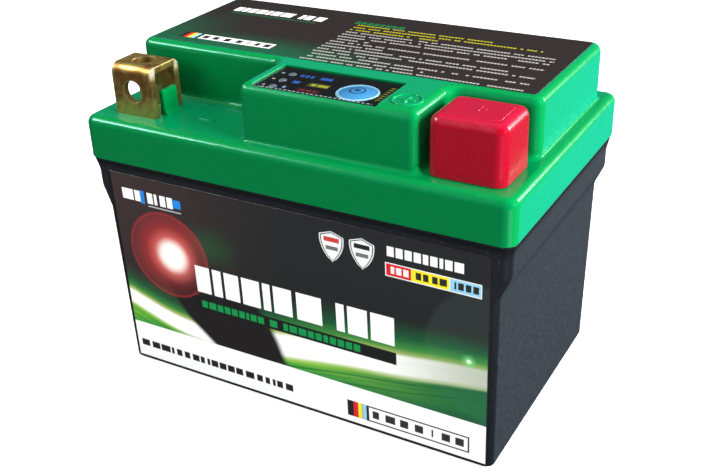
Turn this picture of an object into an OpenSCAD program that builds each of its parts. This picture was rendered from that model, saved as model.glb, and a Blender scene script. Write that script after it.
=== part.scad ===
// Small 12 V lithium motorcycle battery with a test panel in its lid.
// Millimetres. +X runs right along the long front face, +Y to the back, +Z up.
// The origin is the centre of the underside.

/* [Overall size] */
// Width over the lid flange
lid_w = 113; // [112.5:0.1:113.5]
// Depth over the lid flange
lid_d = 70; // [69.8:0.1:70.6]
// Height to the top of the raised marks on the lid
overall_h = 85; // [85:0.1:85.6]

/* [Case] */
// Height of the underside of the lid flange
split_z = 60; // [59.6:0.1:60.2]
// Plan radius of the lid flange corners
flange_r = 3; // [2:0.5:6]
// Wall thickness of the case
case_wall = 2.1; // [1.8:0.1:2.3]
// How far the raised band stands out on each end of the case
band_out = 2.4; // [1.2:0.2:2.8]

/* [Lid] */
// Height of the lid's shelf
shelf_z = 70.8; // [70.8:0.1:71]
// Gap between the raised block and the flange edge on each side
tower_side = 3; // [2.8:0.1:3.4]
// Plan radius of the raised block's corners
tower_r = 2.5; // [1.5:0.5:4]
// Radius of the lid's upper edges
edge_r = 2; // [1.6:0.1:2.2]

/* [Terminals] */
// Diameter of the bolt holes in both terminals
bolt_hole = 5.5; // [5:0.1:6.6]
// Thickness of the terminal strip
strip_t = 1.8; // [1.5:0.1:2]
// Width of the terminal strip
strip_w = 12.2; // [12:0.1:12.4]
// Outer bend radius of the terminal strip
bend_r = 2.2; // [2:0.1:3.4]
// Centre of the negative terminal, X
neg_x = -44.3; // [-44.6:0.1:-44.1]
// Centre of the positive terminal, X
pos_x = 44.1; // [43.9:0.1:44.2]

/* [Test panel] */
// Diameter of the test button
button_d = 9.8; // [9:0.2:9.8]
// Travel of the test button
button_travel = 0.5; // [0.3:0.1:0.6]
// Spacing of the three indicator lamps
led_pitch = 4.15; // [3.8:0.05:4.15]

/* [Cells] */
// Cell diameter
cell_d = 26.2; // [25.6:0.1:26.4]
// Cell length over the caps
cell_l = 65; // [64:0.2:65.2]

/* [Hidden] */
$fn = 64;
wire_fn = 24;       // facets round a wire
overlap = 0.01;
fine_gap = 0.02;    // clearances between neighbouring parts
part_gap = 0.05;
slot_gap = 0.15;

// Colours shared by several nodes
nickel = [0.75, 0.75, 0.72];
steel = [0.7, 0.7, 0.72];
brass = [0.72, 0.58, 0.28];
copper = [0.8, 0.45, 0.25];
black = [0.1, 0.1, 0.1];
foam = [0.25, 0.25, 0.27];

// Lid. Names ending in _x, _y or _z are either one place or a [low, high] range.
half_w = lid_w/2;
half_d = lid_d/2;
mark_h = 0.3;                     // rise of the polarity marks
tower_top = overall_h - mark_h;
tower_x = half_w - tower_side;    // raised block, half width
tower_y = [-13.6, half_d - 6];
centre_x = [-11.3, 32.8];         // block in front of the raised block
centre_front = -31.5;
centre_wall = 1.5;
roof = 2.2;                       // wall of the raised block
shelf_under = shelf_z - 2.5;
pocket_z = tower_top - 0.7;       // floor of the test panel's pocket
ceiling_z = pocket_z - 1.9;       // ceiling inside the centre block

// Case
neck_x = half_w - 2.5;            // neck plugged into the flange, half sizes
neck_y = half_d - 2.5;
neck_top = shelf_under - 0.2;
body_x = half_w - 3.3;            // half sizes at the top of the taper
body_y = half_d - 0.85;
foot_x = body_x - 0.4;            // half sizes at the foot of the taper
foot_y = half_d - 2.15;
rim_x = half_w - 0.3;             // half sizes just under the flange
rim_y = half_d - 0.3;
floor_t = 2.2;
cavity_x = foot_x - case_wall;
cavity_y = foot_y - case_wall;

// Test panel and its board
panel_x = [-8.2, 23.3];
panel_y = [-30.4, -16.2];
panel_t = 0.3;
button_at = [15.9, -25.1];
lamp_spots = [for (i = [-1:1]) [-3.6, -24.6 + i*led_pitch]];
board_t = 1.6;                    // thickness of both boards
test_base = 74.5;
test_top = test_base + board_t;
test_holes = [[3.5, -26], [26.5, -19.5]];
stem_z = 79.4;                    // lower end of the button's stem
switch_floor = test_top + 0.35;

// Terminals and bus bars
board_base = 62.4;                // battery management board
board_top = board_base + board_t;
bar_z = [board_top + part_gap, board_top + part_gap + 1.5];
bar_cut_z = [board_top - 1, board_top + 3];
bar_half_w = 5.5;
terminal_y = [-29.15, -18.3];
terminal_top = overall_h - 1.65;
terminal_foot_z = bar_z[1] + part_gap;
front_hole_z = 76.8;
cap_top = overall_h - 0.35;
rivet_y = -12.8;

// Cells, holders and links
cell_r = cell_d/2;
cell_y = cell_r + 0.4;            // cell axes lie at -Y and +Y of this
low_z = 18.8;                     // axes of the lower cells
high_z = low_z + 2*cell_y;        // axes of the upper cells
holder_in = cell_l/2 - 4;         // inner and outer faces of the holders
holder_out = cell_l/2 + 2;
holder_z = [4.4, high_z + cell_r + 1.5];
post_x = 31.3;                    // posts that carry the management board
post_y = [-6, 22];
posts = [for (side = [-1, 1], y = post_y) [side*post_x, y]];
link_t = 0.5;
link_in = holder_out + part_gap;  // inner face of the links
neg_tab_y = -cell_y - 1.2;
pos_tab_y = cell_y + 0.6;
socket_x = 41;                    // balance connector
socket_pitch = 2.5;

// ---- ranges [low, high]
function around(mid, half) = [mid - half, mid + half];
function both(half) = around(0, half);
function grow(range, by) = [range[0] - by, range[1] + by];
function size(range) = range[1] - range[0];
// range from near to far, measured from x towards side -1 or +1
function beside(x, side, near, far) = side > 0 ? [x + near, x + far] : [x - far, x - near];
// closed outline from its right half, listed upwards
function mirrored(half) =
    concat(half, [for (i = [len(half) - 1:-1:0]) [-half[i][0], half[i][1]]]);

// ---- shapes that fill ranges
module rect(x, y) translate([x[0], y[0]]) square([size(x), size(y)]);
module round_rect(x, y, r) {
    rect(grow(x, -r), y);
    rect(x, grow(y, -r));
    for (corner_x = grow(x, -r), corner_y = grow(y, -r))
        translate([corner_x, corner_y]) circle(r);
}
module box(x, y, z) translate([x[0], y[0], z[0]]) cube([size(x), size(y), size(z)]);
module round_box(x, y, z, r)
    translate([0, 0, z[0]]) linear_extrude(size(z)) round_rect(x, y, r);
module disc(z, r, at = [0, 0]) translate([at[0], at[1], z[0]]) cylinder(h = size(z), r = r);
module along_x(x)
    translate([x[0], 0, 0]) rotate([90, 0, 90]) linear_extrude(size(x)) children();
module along_y(y)
    translate([0, y[1], 0]) rotate([90, 0, 0]) linear_extrude(size(y)) children();

// side view with its two upper corners rounded by low_r and high_r
module top_rounded(across, z, low_r, high_r) {
    centres = [across[0] + low_r, across[1] - high_r];
    rect(across, [z[0], z[1] - max(low_r, high_r)]);
    rect(centres, z);
    if (low_r < high_r) rect([across[0], centres[0] + overlap], [z[0], z[1] - low_r]);
    if (high_r < low_r) rect([centres[1] - overlap, across[1]], [z[0], z[1] - high_r]);
    translate([centres[0], z[1] - low_r]) circle(low_r);
    translate([centres[1], z[1] - high_r]) circle(high_r);
}
// block with plan radius r and upper edge radii [left, right, front, back]
module block(x, y, z, r, edges) intersection() {
    round_box(x, y, z, r);
    along_x(grow(x, 1)) top_rounded(y, z, edges[2], edges[3]);
    along_y(grow(y, 1)) top_rounded(x, z, edges[0], edges[1]);
}
// crossed slots in a screw head; slot is [length, width, depth]
module cross_slot(slot, z)
    for (angle = [0, 90])
        rotate(angle) translate([-slot[0]/2, -slot[1]/2, z]) cube(slot);

// ---- case: tapered tub with a raised band on each end and a plug-in neck
module case_front_outline() {
    band_x = body_x + band_out;
    polygon(mirrored([[body_x - 0.8, 0], [foot_x, 0.4], [body_x, 46.4], [band_x, 51.7],
        [band_x, 56.3], [rim_x, split_z - 0.3], [rim_x, split_z]]));
}
module case_end_outline()
    polygon(mirrored([[half_d - 2.6, 0], [foot_y, 0.4], [body_y, 57],
        [rim_y, split_z - 0.3], [rim_y, split_z]]));
module case() color([0.13, 0.15, 0.18]) {
    difference() {
        union() {
            intersection() {
                along_y(both(half_d)) case_front_outline();
                along_x(both(half_w)) case_end_outline();
                union() {
                    round_box(both(body_x), both(body_y), [0, 47], 2);
                    round_box(both(rim_x), both(rim_y), [46.4, split_z], 2.8);
                }
            }
            round_box(both(neck_x), both(neck_y), [split_z - 1, neck_top], 3);
        }
        round_box(both(cavity_x), both(cavity_y), [floor_t, neck_top + 1], 2);
        round_box(both(neck_x - 1.9), both(cavity_y), [55, neck_top + 1], 2);
    }
    // ribs between the end walls and the foam blocks
    for (side = [-1, 1], y = [-18, 0, 18])
        box(beside(0, side, cavity_x - 1.2, cavity_x + 0.1), around(y, 0.8),
            [floor_t - 0.1, 52]);
}

// ---- lid: flange, shelf, raised block, centre block and what is moulded into them
module terminal_slots(x)
    for (y = [terminal_y[0], terminal_y[1] - strip_t])
        box(around(x, strip_w/2 + slot_gap), grow([y, y + strip_t], slot_gap),
            [shelf_under - 1, shelf_z + 1]);

// wall beside the nut seat, reaching out to foot at its thickened foot
module nut_wall(x, side, foot) {
    // [distance from the terminal's centre, height above the shelf]
    profile = [[5.2, -0.1], [foot, -0.1], [foot, 0.4], [6.9, 1.7],
        [6.75, 5.7], [6.2, 6.3], [5.6, 6.3], [5.3, 6]];
    along_y([-26.1, -20.6]) polygon([for (p = profile) [x + side*p[0], shelf_z + p[1]]]);
}

// rounded inside corner where the centre block meets the raised block
module inner_corner(x, side) {
    r = 3;
    reach = 9;
    front = tower_y[0];
    intersection() {
        translate([x + side*r, front - r, 0]) rotate_extrude() {
            rect([r, reach], [shelf_z - 0.5, tower_top - edge_r]);
            rect([r + edge_r, reach], [shelf_z, tower_top]);
            translate([r + edge_r, tower_top - edge_r]) circle(edge_r);
        }
        box(beside(x, side, -edge_r, r), [front - r, front + edge_r],
            [shelf_z - 0.5, tower_top]);
    }
}

module minus_mark()
    round_box(around(-26.6, 2.3), around(-24.2, 0.5), [shelf_z - 0.1, shelf_z + mark_h], 0.4);

// ringed cross on the centre block
module plus_mark() {
    sink = 0.5;
    height = sink + mark_h;
    arm = 3.8;
    arm_w = 0.7;
    translate([28.1, -25.6, tower_top - sink]) {
        difference() {
            cylinder(h = height, r = 3.5);
            translate([0, 0, -1]) cylinder(h = 3, r = 3);
        }
        translate([-arm/2, -arm_w/2, 0]) cube([arm, arm_w, height]);
        translate([-arm_w/2, -arm/2, 0]) cube([arm_w, arm, height]);
    }
}

module lid() color([0.0, 0.52, 0.28]) {
    raised_z = [shelf_z - 0.5, tower_top];
    button_hole_r = button_d/2 + 0.12;
    difference() {
        union() {
            block(both(half_w), both(half_d), [split_z, shelf_z], flange_r, [2, 2, 2.2, 2.2]);
            block(both(tower_x), tower_y, raised_z, tower_r, [edge_r, edge_r, edge_r, 1.2]);
            block(centre_x, [centre_front, tower_y[0] + 12], raised_z, 1.7,
                [edge_r, edge_r, 3, 0.5]);
            inner_corner(centre_x[1], 1);
            inner_corner(centre_x[0], -1);
        }
        round_box(both(neck_x + slot_gap), both(neck_y + slot_gap),
            [split_z - 1, shelf_under], 3.1);
        round_box(both(tower_x - roof), grow(tower_y, -roof),
            [shelf_z - 6, tower_top - roof], 1.2);
        round_box(grow(centre_x, -centre_wall), [centre_front + centre_wall, tower_y[0] + 8],
            [shelf_z - 6, ceiling_z], 1.2);
        // pocket of the test panel, with holes for the button and the lamps
        round_box(grow(panel_x, 0.1), grow(panel_y, 0.1), [pocket_z, tower_top + 1], 0.5);
        disc([pocket_z - 1.1, pocket_z + 1], button_hole_r, at = button_at);
        disc([ceiling_z - 1, pocket_z], 2.75, at = button_at);
        for (spot = lamp_spots) disc([ceiling_z - 1, pocket_z + 1], 1.2, at = spot);
        terminal_slots(neg_x);
        terminal_slots(pos_x);
    }
    nut_wall(neg_x, 1, 8);
    nut_wall(pos_x, -1, 6.95);
    // bosses for the test board's screws
    for (spot = test_holes) difference() {
        disc([test_top + part_gap, ceiling_z + 0.2], 2.3, at = spot);
        disc([test_top - 1, ceiling_z - 1.2], 0.95, at = spot);
    }
    minus_mark();
    plus_mark();
}

// adhesive bead between the top of the case neck and the lid
module lid_seal() color(black) difference() {
    round_box(both(neck_x - 0.3), both(neck_y - 0.3),
        [neck_top + fine_gap, neck_top + 0.18], 2.8);
    round_box(both(neck_x - 1.5), both(neck_y - 1.5), [neck_top - 1, neck_top + 1], 2);
}

// ---- printed films
film_t = 0.15;

// follows the taper of the front face
module front_label() color([0.17, 0.18, 0.17]) {
    low_y = -foot_y - fine_gap;
    high_y = -body_y - fine_gap;
    intersection() {
        along_x(both(52)) polygon([[low_y, 0.6], [high_y, 56.9],
            [high_y - film_t, 56.9], [low_y - film_t, 0.6]]);
        along_y([-half_d, -half_d + 4]) polygon([[-51.1, 0], [51.1, 0], [52, 57], [-52, 57]]);
    }
}
module top_label() color([0.2, 0.19, 0.18])
    round_box(both(tower_x - 2.1), [tower_y[0] + 2.1, tower_y[1] - 1.4],
        [tower_top + fine_gap, tower_top + fine_gap + film_t], 0.8);
module test_panel() color([0.08, 0.08, 0.12]) difference() {
    cut_z = around(pocket_z, 1);
    round_box(panel_x, panel_y, [pocket_z + fine_gap, pocket_z + fine_gap + panel_t], 0.4);
    disc(cut_z, button_d/2 + 0.12, at = button_at);
    for (spot = lamp_spots) disc(cut_z, 1.15, at = spot);
}

// ---- test button, lamps and their board
module test_button() color([0.35, 0.68, 0.95]) {
    head_r = button_d/2;
    // [radius, height]: stem, collar under the ceiling, neck, head
    translate(button_at) rotate_extrude() polygon([
        [0, stem_z], [1.6, stem_z], [1.6, ceiling_z - 1.1],
        [3.4, ceiling_z - 1.1], [3.4, ceiling_z - 0.1], [2.6, ceiling_z - 0.1],
        [2.6, pocket_z - 0.5], [head_r, pocket_z - 0.5], [head_r, pocket_z + 0.3],
        [head_r - 0.4, pocket_z + 0.6], [head_r - 1.6, pocket_z + 0.85], [0, pocket_z + 1]]);
}
module indicator_lamps() color([0.62, 0.66, 0.68]) for (spot = lamp_spots) translate(spot) {
    lens_r = 1.05;
    disc([test_top + fine_gap, test_top + 1], 1.18);
    disc([test_top + 0.9, pocket_z + 0.25], lens_r);
    // domed tip
    intersection() {
        translate([0, 0, pocket_z - 0.5]) sphere(r = 1.3);
        disc([pocket_z, pocket_z + 1], lens_r);
    }
}
module test_board() color([0.05, 0.32, 0.16]) difference() {
    round_box([-8.4, 29.4], [-29.8, -15.2], [test_base, test_top], 1);
    for (spot = test_holes) disc([test_base - 1, test_top + 1], 1.1, at = spot);
}
module test_switch() color([0.12, 0.12, 0.12]) difference() {
    round_box(around(button_at[0], 3), around(button_at[1], 3),
        [test_top + fine_gap, test_top + 2.4], 0.3);
    disc([switch_floor, test_top + 3], 1.8, at = button_at);
}
module switch_plunger() color([0.75, 0.72, 0.65])
    disc([switch_floor + button_travel + 0.1, stem_z - part_gap], 1.72, at = button_at);

// screws up through the test board, heads below it
module test_board_screws() color(steel) for (spot = test_holes) translate(spot) difference() {
    union() {
        disc([test_base - 1.3, test_base - 0.03], 1.9);
        disc([test_base - 0.1, ceiling_z - 1.6], 0.85);
    }
    cross_slot([2.4, 0.4, 1.3], test_base - 2);
}

// four-strand ribbon between the two boards, with a small plug at each end
module test_cable() color([0.6, 0.6, 0.62]) {
    cable_y = -16.9;
    box(both(2.4), around(cable_y, 1), [board_top + fine_gap, board_top + 3]);
    box(both(2.4), around(cable_y, 1), [test_base - 2.6, test_base - fine_gap]);
    for (x = [-1.5:1:1.5])
        disc([board_top + 2.5, test_base - 2.1], 0.48, at = [x, cable_y], $fn = wire_fn);
}

// ---- terminals: bent strips with two bolt holes and a foot over the board
module rivet_hole(x, z) disc(z, 1.6, at = [x, rivet_y]);

// inverted U seen from the end, legs through the shelf, the back leg turned into a foot
module terminal_outline() {
    bend_y = grow(terminal_y, -bend_r);
    bend_z = terminal_top - bend_r;
    back_leg_y = terminal_y[1] - strip_t;
    difference() {
        union() {
            rect(terminal_y, [shelf_z - 4, bend_z]);
            rect(bend_y, [terminal_top - 5, terminal_top]);
            for (y = bend_y) translate([y, bend_z]) circle(bend_r);
        }
        rect(grow(terminal_y, -strip_t), [shelf_z - 10, bend_z]);
        rect(bend_y, [shelf_z - 10, terminal_top - strip_t]);
        for (y = bend_y) translate([y, bend_z]) circle(bend_r - strip_t);
    }
    rect([back_leg_y, terminal_y[1]], [terminal_foot_z, shelf_z]);
    rect([back_leg_y, back_leg_y + 9.95], [terminal_foot_z, terminal_foot_z + strip_t]);
}
module terminal(x) color(brass) difference() {
    along_x(around(x, strip_w/2)) terminal_outline();
    translate([x, terminal_y[0] - 1, front_hole_z]) rotate([-90, 0, 0])
        cylinder(h = strip_t + 2, r = bolt_hole/2);
    disc([terminal_top - strip_t - 1, terminal_top + 1], bolt_hole/2,
        at = [x, (terminal_y[0] + terminal_y[1])/2]);
    rivet_hole(x, [terminal_foot_z - 1, terminal_foot_z + strip_t + 1]);
}
module negative_terminal() terminal(neg_x);
module positive_terminal() terminal(pos_x);
module terminal_rivets() color([0.8, 0.62, 0.3]) {
    foot_top = terminal_foot_z + strip_t;
    for (x = [neg_x, pos_x]) translate([x, rivet_y]) {
        disc([board_base - 1, board_base - part_gap], 2.7);
        disc([board_base - 0.5, foot_top + 0.4], 1.5);
        disc([foot_top + part_gap, foot_top + 0.7], 2.6);
    }
}
module positive_cap() color([0.8, 0.05, 0.12]) {
    difference() {
        block([pos_x - 9.2, pos_x + 8.5], [-31, -16.1], [shelf_z + 0.08, cap_top], 2.6,
            [2.3, 2.3, 2.3, 2.3]);
        round_box([pos_x - 7.75, pos_x + 7.05], [-29.6, -17.5],
            [shelf_z - 1, cap_top - 1.15], 1.4);
    }
    // light ribs beside the strip
    for (x = [[pos_x - 7.8, pos_x - 6.3], [pos_x + 6.3, pos_x + 7.1]], y = [-27, -20])
        box(x, around(y, 0.4), [shelf_z + 2, cap_top - 1]);
}

// opening for a pack tab in a bus bar
module bar_tab_slot(y) box([-holder_out - 0.75, -holder_out + 0.15], y, bar_cut_z);
module negative_bus_bar() color(copper) difference() {
    union() {
        box(around(neg_x, bar_half_w), [-17.2, -8.4], bar_z);
        box([neg_x - bar_half_w, -33.2], [-12.4, -8.4], bar_z);
    }
    rivet_hole(neg_x, bar_cut_z);
    bar_tab_slot([-13, neg_tab_y + 4.2]);
}
module positive_bus_bar() color(copper) difference() {
    union() {
        box(around(pos_x, bar_half_w), [-17.2, 22.5], bar_z);
        box([-38, pos_x], [16.5, 22.5], bar_z);
    }
    rivet_hole(pos_x, bar_cut_z);
    for (x = both(post_x)) disc(bar_cut_z, 3, at = [x, post_y[1]]);
    bar_tab_slot([16, pos_tab_y + 4.2]);
}

// ---- cells: four in series, lying along X; side is the end the raised cap faces
module cell(y, z, side) color([0.1, 0.35, 0.6])
    translate([0, y, z]) rotate([0, 90*side, 0]) translate([0, 0, -cell_l/2]) rotate_extrude()
        // [radius, distance from the flat end]
        polygon([[0, 0], [cell_r - 0.8, 0], [cell_r - 0.2, 0.3], [cell_r, 1],
            [cell_r, cell_l - 6], [cell_r - 0.8, cell_l - 5.4],
            [cell_r - 0.8, cell_l - 4.8], [cell_r, cell_l - 4.2],
            [cell_r, cell_l - 2], [cell_r - 0.8, cell_l - 1.2],
            [5, cell_l - 1.2], [5, cell_l - 0.02], [0, cell_l - 0.02]]);
module cell_front_low() cell(-cell_y, low_z, -1);
module cell_front_high() cell(-cell_y, high_z, 1);
module cell_back_high() cell(cell_y, high_z, -1);
module cell_back_low() cell(cell_y, low_z, 1);

module cell_holder(side) color([0.2, 0.2, 0.22]) difference() {
    top = holder_z[1];
    union() {
        box(beside(0, side, holder_in, holder_out), both(cavity_y - 0.4), holder_z);
        for (y = post_y) disc([top - 1, board_base - part_gap], 2.9, at = [side*post_x, y]);
    }
    // socket for each cell, with a smaller hole through to the links
    for (y = both(cell_y), z = [low_z, high_z])
        translate([side*(holder_in - 1), y, z]) rotate([0, 90*side, 0]) {
            cylinder(h = cell_l/2 - holder_in + 1.1, r = cell_r + 0.12);
            cylinder(h = 12, r = 9.5);
        }
    for (y = post_y) disc([top - 4, board_base + 1], 1, at = [side*post_x, y]);
}
module cell_holder_left() cell_holder(-1);
module cell_holder_right() cell_holder(1);

// ---- nickel links welded to the cell ends
module weld_pad(side, y, z) {
    start = cell_l/2 + 0.03;
    translate([side*start, y, z]) rotate([0, 90*side, 0])
        cylinder(h = holder_out + 0.1 + link_t/2 - start, r = 4.2);
}
module strip(side, y, z) box(beside(0, side, link_in, link_in + link_t), y, z);
module upright_link(y) color(nickel) {
    strip(1, around(y, 6), [low_z - 7, high_z + 7]);
    for (z = [low_z, high_z]) weld_pad(1, y, z);
}
module link_front() upright_link(-cell_y);
module link_back() upright_link(cell_y);
module link_bottom() color(nickel) {
    strip(-1, both(cell_y + 7), around(low_z, 6));
    for (y = both(cell_y)) weld_pad(-1, y, low_z);
}
module pack_tab(y) color(nickel) {
    strip(-1, around(y, 4), [high_z - 7, board_top + 1.2]);
    weld_pad(-1, y, high_z);
}
module pack_negative_tab() pack_tab(neg_tab_y);
module pack_positive_tab() pack_tab(pos_tab_y);

// ---- battery management board above the cells
module insulation_sheet() color([0.85, 0.8, 0.65]) difference() {
    top = holder_z[1];
    box(both(33), both(27), [top + part_gap, top + 0.45]);
    for (spot = posts) disc(around(top, 1), 3.1, at = spot);
}
module bms_board() color([0.04, 0.28, 0.14]) difference() {
    board_z = [board_base, board_top];
    cut_z = grow(board_z, 1);
    round_box(both(49.5), [-18.2, 26], board_z, 1.5);
    for (spot = posts) disc(cut_z, 1.3, at = spot);
    for (x = [neg_x, pos_x]) rivet_hole(x, cut_z);
    // slots for the two pack tabs
    for (y = [neg_tab_y, pos_tab_y])
        box([-holder_out - 0.8, -holder_out + 0.2], around(y, 4.3), cut_z);
}

transistor_pitch = 8;
module bms_transistors() color(black) for (i = [0:5]) {
    left = -24 + i*transistor_pitch;
    box([left, left + 5.4], [-2, 4], [board_top + fine_gap, board_top + 1.4]);
}
// grooved bar on top of the transistors
module heat_spreader() color([0.75, 0.76, 0.78]) difference() {
    box([-26, 24], [-3, 5], [board_top + 1.45, board_top + 5.5]);
    for (i = [0:5])
        box(around(-21 + i*transistor_pitch, 1.5), [-4, 6], [board_top + 2.8, board_top + 6]);
}
module balance_resistors() color([0.2, 0.2, 0.2]) for (i = [0:7]) {
    left = -20 + i*5.2;
    box([left, left + 3.2], [10, 11.8], [board_top + fine_gap, board_top + 0.7]);
}
module balance_connector() color([0.9, 0.88, 0.8]) difference() {
    box(around(socket_x, 3), both(7), [board_base - 5.4, board_base - fine_gap]);
    for (i = [-2:2])
        disc([board_base - 6, board_base - 2.4], 0.75, at = [socket_x, i*socket_pitch]);
}

// wire through a list of points, with a ball at each bend
module wire_run(path, r) for (i = [0:len(path) - 2]) {
    step = path[i + 1] - path[i];
    length = norm(step);
    translate(path[i]) rotate([0, acos(step[2]/length), atan2(step[1], step[0])])
        cylinder(h = length, r = r, $fn = wire_fn);
    if (i > 0) translate(path[i]) sphere(r = r + 0.12, $fn = wire_fn);
}
// from the right-hand links up into the balance connector
module balance_wires() color([0.75, 0.1, 0.1]) {
    link_x = link_in + link_t + 0.65;
    turn_z = 54;
    for (side = [-1, 1]) wire_run([
        [link_x, side*cell_y, high_z - 2],
        [link_x, side*cell_y, turn_z],
        [socket_x, side*socket_pitch, turn_z],
        [socket_x, side*socket_pitch, board_base - 3]], 0.6);
}
module bms_screws() color(steel) for (spot = posts) translate(spot) difference() {
    union() {
        disc([board_top + 0.03, board_top + 1.4], 2.2);
        disc([holder_z[1] - 2.4, board_top + 0.5], 0.95);
    }
    cross_slot([2.6, 0.5, 1], board_top + 0.8);
}

// ---- foam packing
module base_foam() color(foam)
    round_box(both(cavity_x - 1.6), both(cavity_y - 0.4),
        [floor_t + part_gap, holder_z[0] - part_gap], 2);
module end_foam(side) color(foam)
    box(beside(0, side, holder_out + 3, cavity_x - 1.4), both(cavity_y - 1),
        [holder_z[0], 50]);
module end_foam_left() end_foam(-1);
module end_foam_right() end_foam(1);

case();
lid();
lid_seal();
front_label();
top_label();
test_panel();
test_button();
indicator_lamps();
test_board();
test_switch();
switch_plunger();
test_board_screws();
test_cable();
negative_terminal();
positive_terminal();
positive_cap();
terminal_rivets();
negative_bus_bar();
positive_bus_bar();
cell_front_low();
cell_front_high();
cell_back_high();
cell_back_low();
cell_holder_left();
cell_holder_right();
link_front();
link_bottom();
link_back();
pack_negative_tab();
pack_positive_tab();
insulation_sheet();
bms_board();
bms_transistors();
balance_resistors();
heat_spreader();
balance_connector();
balance_wires();
bms_screws();
base_foam();
end_foam_left();
end_foam_right();
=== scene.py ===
# Block battery: a dark tapering case, a green lid with a raised tower, two strip terminals
# (the right one under a red cap), a small test panel and printed films.
# X runs across the width to the right, -Y is the front, Z is up and the base stands at z = 0.
# Shapes are worked out in millimetres; finish_mesh turns them into metres.
import math
from collections import namedtuple
from functools import cached_property

import bmesh
import bpy
from mathutils import Matrix, Vector

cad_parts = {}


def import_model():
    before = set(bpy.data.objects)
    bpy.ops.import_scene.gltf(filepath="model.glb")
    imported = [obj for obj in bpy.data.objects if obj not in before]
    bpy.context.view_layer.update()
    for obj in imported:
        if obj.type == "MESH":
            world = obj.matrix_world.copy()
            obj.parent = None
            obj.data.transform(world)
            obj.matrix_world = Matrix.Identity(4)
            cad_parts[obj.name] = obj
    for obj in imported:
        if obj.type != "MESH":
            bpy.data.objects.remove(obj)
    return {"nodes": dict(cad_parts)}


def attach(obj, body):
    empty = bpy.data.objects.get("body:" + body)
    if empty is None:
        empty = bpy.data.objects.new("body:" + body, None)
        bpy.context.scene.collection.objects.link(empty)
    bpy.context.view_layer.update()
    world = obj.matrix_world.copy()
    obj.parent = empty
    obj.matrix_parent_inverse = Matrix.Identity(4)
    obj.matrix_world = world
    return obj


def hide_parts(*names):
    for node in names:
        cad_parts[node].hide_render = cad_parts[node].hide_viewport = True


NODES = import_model()["nodes"]
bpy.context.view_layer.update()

# ------------------------------------------------------------------ shared sizes, mm
FLANGE_X, FLANGE_Y = 56.5, 35.0                    # lid flange, half sizes
FLANGE_BOTTOM, SHELF, TOP = 60.0, 70.8, 84.7       # heights of the lid
TOWER_X, TOWER_FRONT, TOWER_BACK = 53.5, -13.6, 29.0
BLOCK_LEFT, BLOCK_RIGHT, BLOCK_FRONT = -11.3, 32.8, -31.5    # block in front of the tower
POCKET_FLOOR = 84.0                                # recess for the test panel
PANEL_LEFT, PANEL_RIGHT, PANEL_FRONT, PANEL_BACK = -8.2, 23.3, -30.4, -16.2
BUTTON_X, BUTTON_Y = 15.9, -25.1
LAMP_X, LAMP_Y, LAMP_PITCH = -3.6, -24.6, 4.15
LAMP_ROW = [LAMP_Y + i * LAMP_PITCH for i in (-1, 0, 1)]
NEGATIVE_X, POSITIVE_X, TERMINAL_Y = -44.3, 44.1, -23.725


# ------------------------------------------------------------------ outlines and rings
EdgePoint = namedtuple(
    "EdgePoint", "x y normal_x normal_y centre_x centre_y radius side_x side_y turn")


def outline(corners, steps):
    """Plan outline from arcs (centre x, centre y, radius, start, end, turn).

    Angles are degrees; turn is 1 for a convex corner and -1 for a concave one.
    """
    points = []
    for centre_x, centre_y, radius, start, end, turn in corners:
        middle = math.radians((start + end) / 2)
        side_x = math.copysign(1, math.cos(middle))
        side_y = math.copysign(1, math.sin(middle))
        for i in range(steps + 1):
            angle = math.radians(start + (end - start) * i / steps)
            cosine, sine = math.cos(angle), math.sin(angle)
            points.append(EdgePoint(
                centre_x + radius * cosine, centre_y + radius * sine,
                turn * cosine, turn * sine, centre_x, centre_y, radius, side_x, side_y, turn))
    return points


def rounded_rect(left, right, front, back, radii, steps=8):
    """Radii: one number, or (front right, back right, back left, front left)."""
    fr, br, bl, fl = radii if isinstance(radii, tuple) else (radii,) * 4
    return outline([
        (right - fr, front + fr, fr, -90, 0, 1), (right - br, back - br, br, 0, 90, 1),
        (left + bl, back - bl, bl, 90, 180, 1), (left + fl, front + fl, fl, 180, 270, 1)], steps)


def centred_rect(half_x, half_y, radius, steps=8):
    return rounded_rect(-half_x, half_x, -half_y, half_y, radius, steps)


def side_rect(x, side, near, far, front, back, radius, steps):
    """Rectangle between two distances from x, to the right (side 1) or the left (side -1)."""
    left, right = sorted((x + side * near, x + side * far))
    return rounded_rect(left, right, front, back, radius, steps)


def inset(point, shift_x, shift_y):
    """The point moved inwards; a convex corner's radius shrinks, a concave one's grows."""
    if point.turn < 0:
        return (point.centre_x - (point.radius + shift_x) * point.normal_x,
                point.centre_y - (point.radius + shift_y) * point.normal_y)
    radius_x = max(point.radius - shift_x, 0.05)
    radius_y = max(point.radius - shift_y, 0.05)
    return (point.centre_x + point.side_x * (point.radius - shift_x - radius_x)
            + radius_x * point.normal_x,
            point.centre_y + point.side_y * (point.radius - shift_y - radius_y)
            + radius_y * point.normal_y)


def per_point(value, count):
    return value if isinstance(value, list) else [value] * count


def ring(shape, shift, height):
    """The outline moved inwards at a height.

    Shift is a number or an (x, y) pair; it and the height may be lists with a value per point.
    """
    count = len(shape)
    shift_x, shift_y = shift if isinstance(shift, tuple) else (shift, shift)
    rows = zip(shape, per_point(shift_x, count), per_point(shift_y, count),
               per_point(height, count))
    return [inset(point, dx, dy) + (z,) for point, dx, dy, z in rows]


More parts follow.
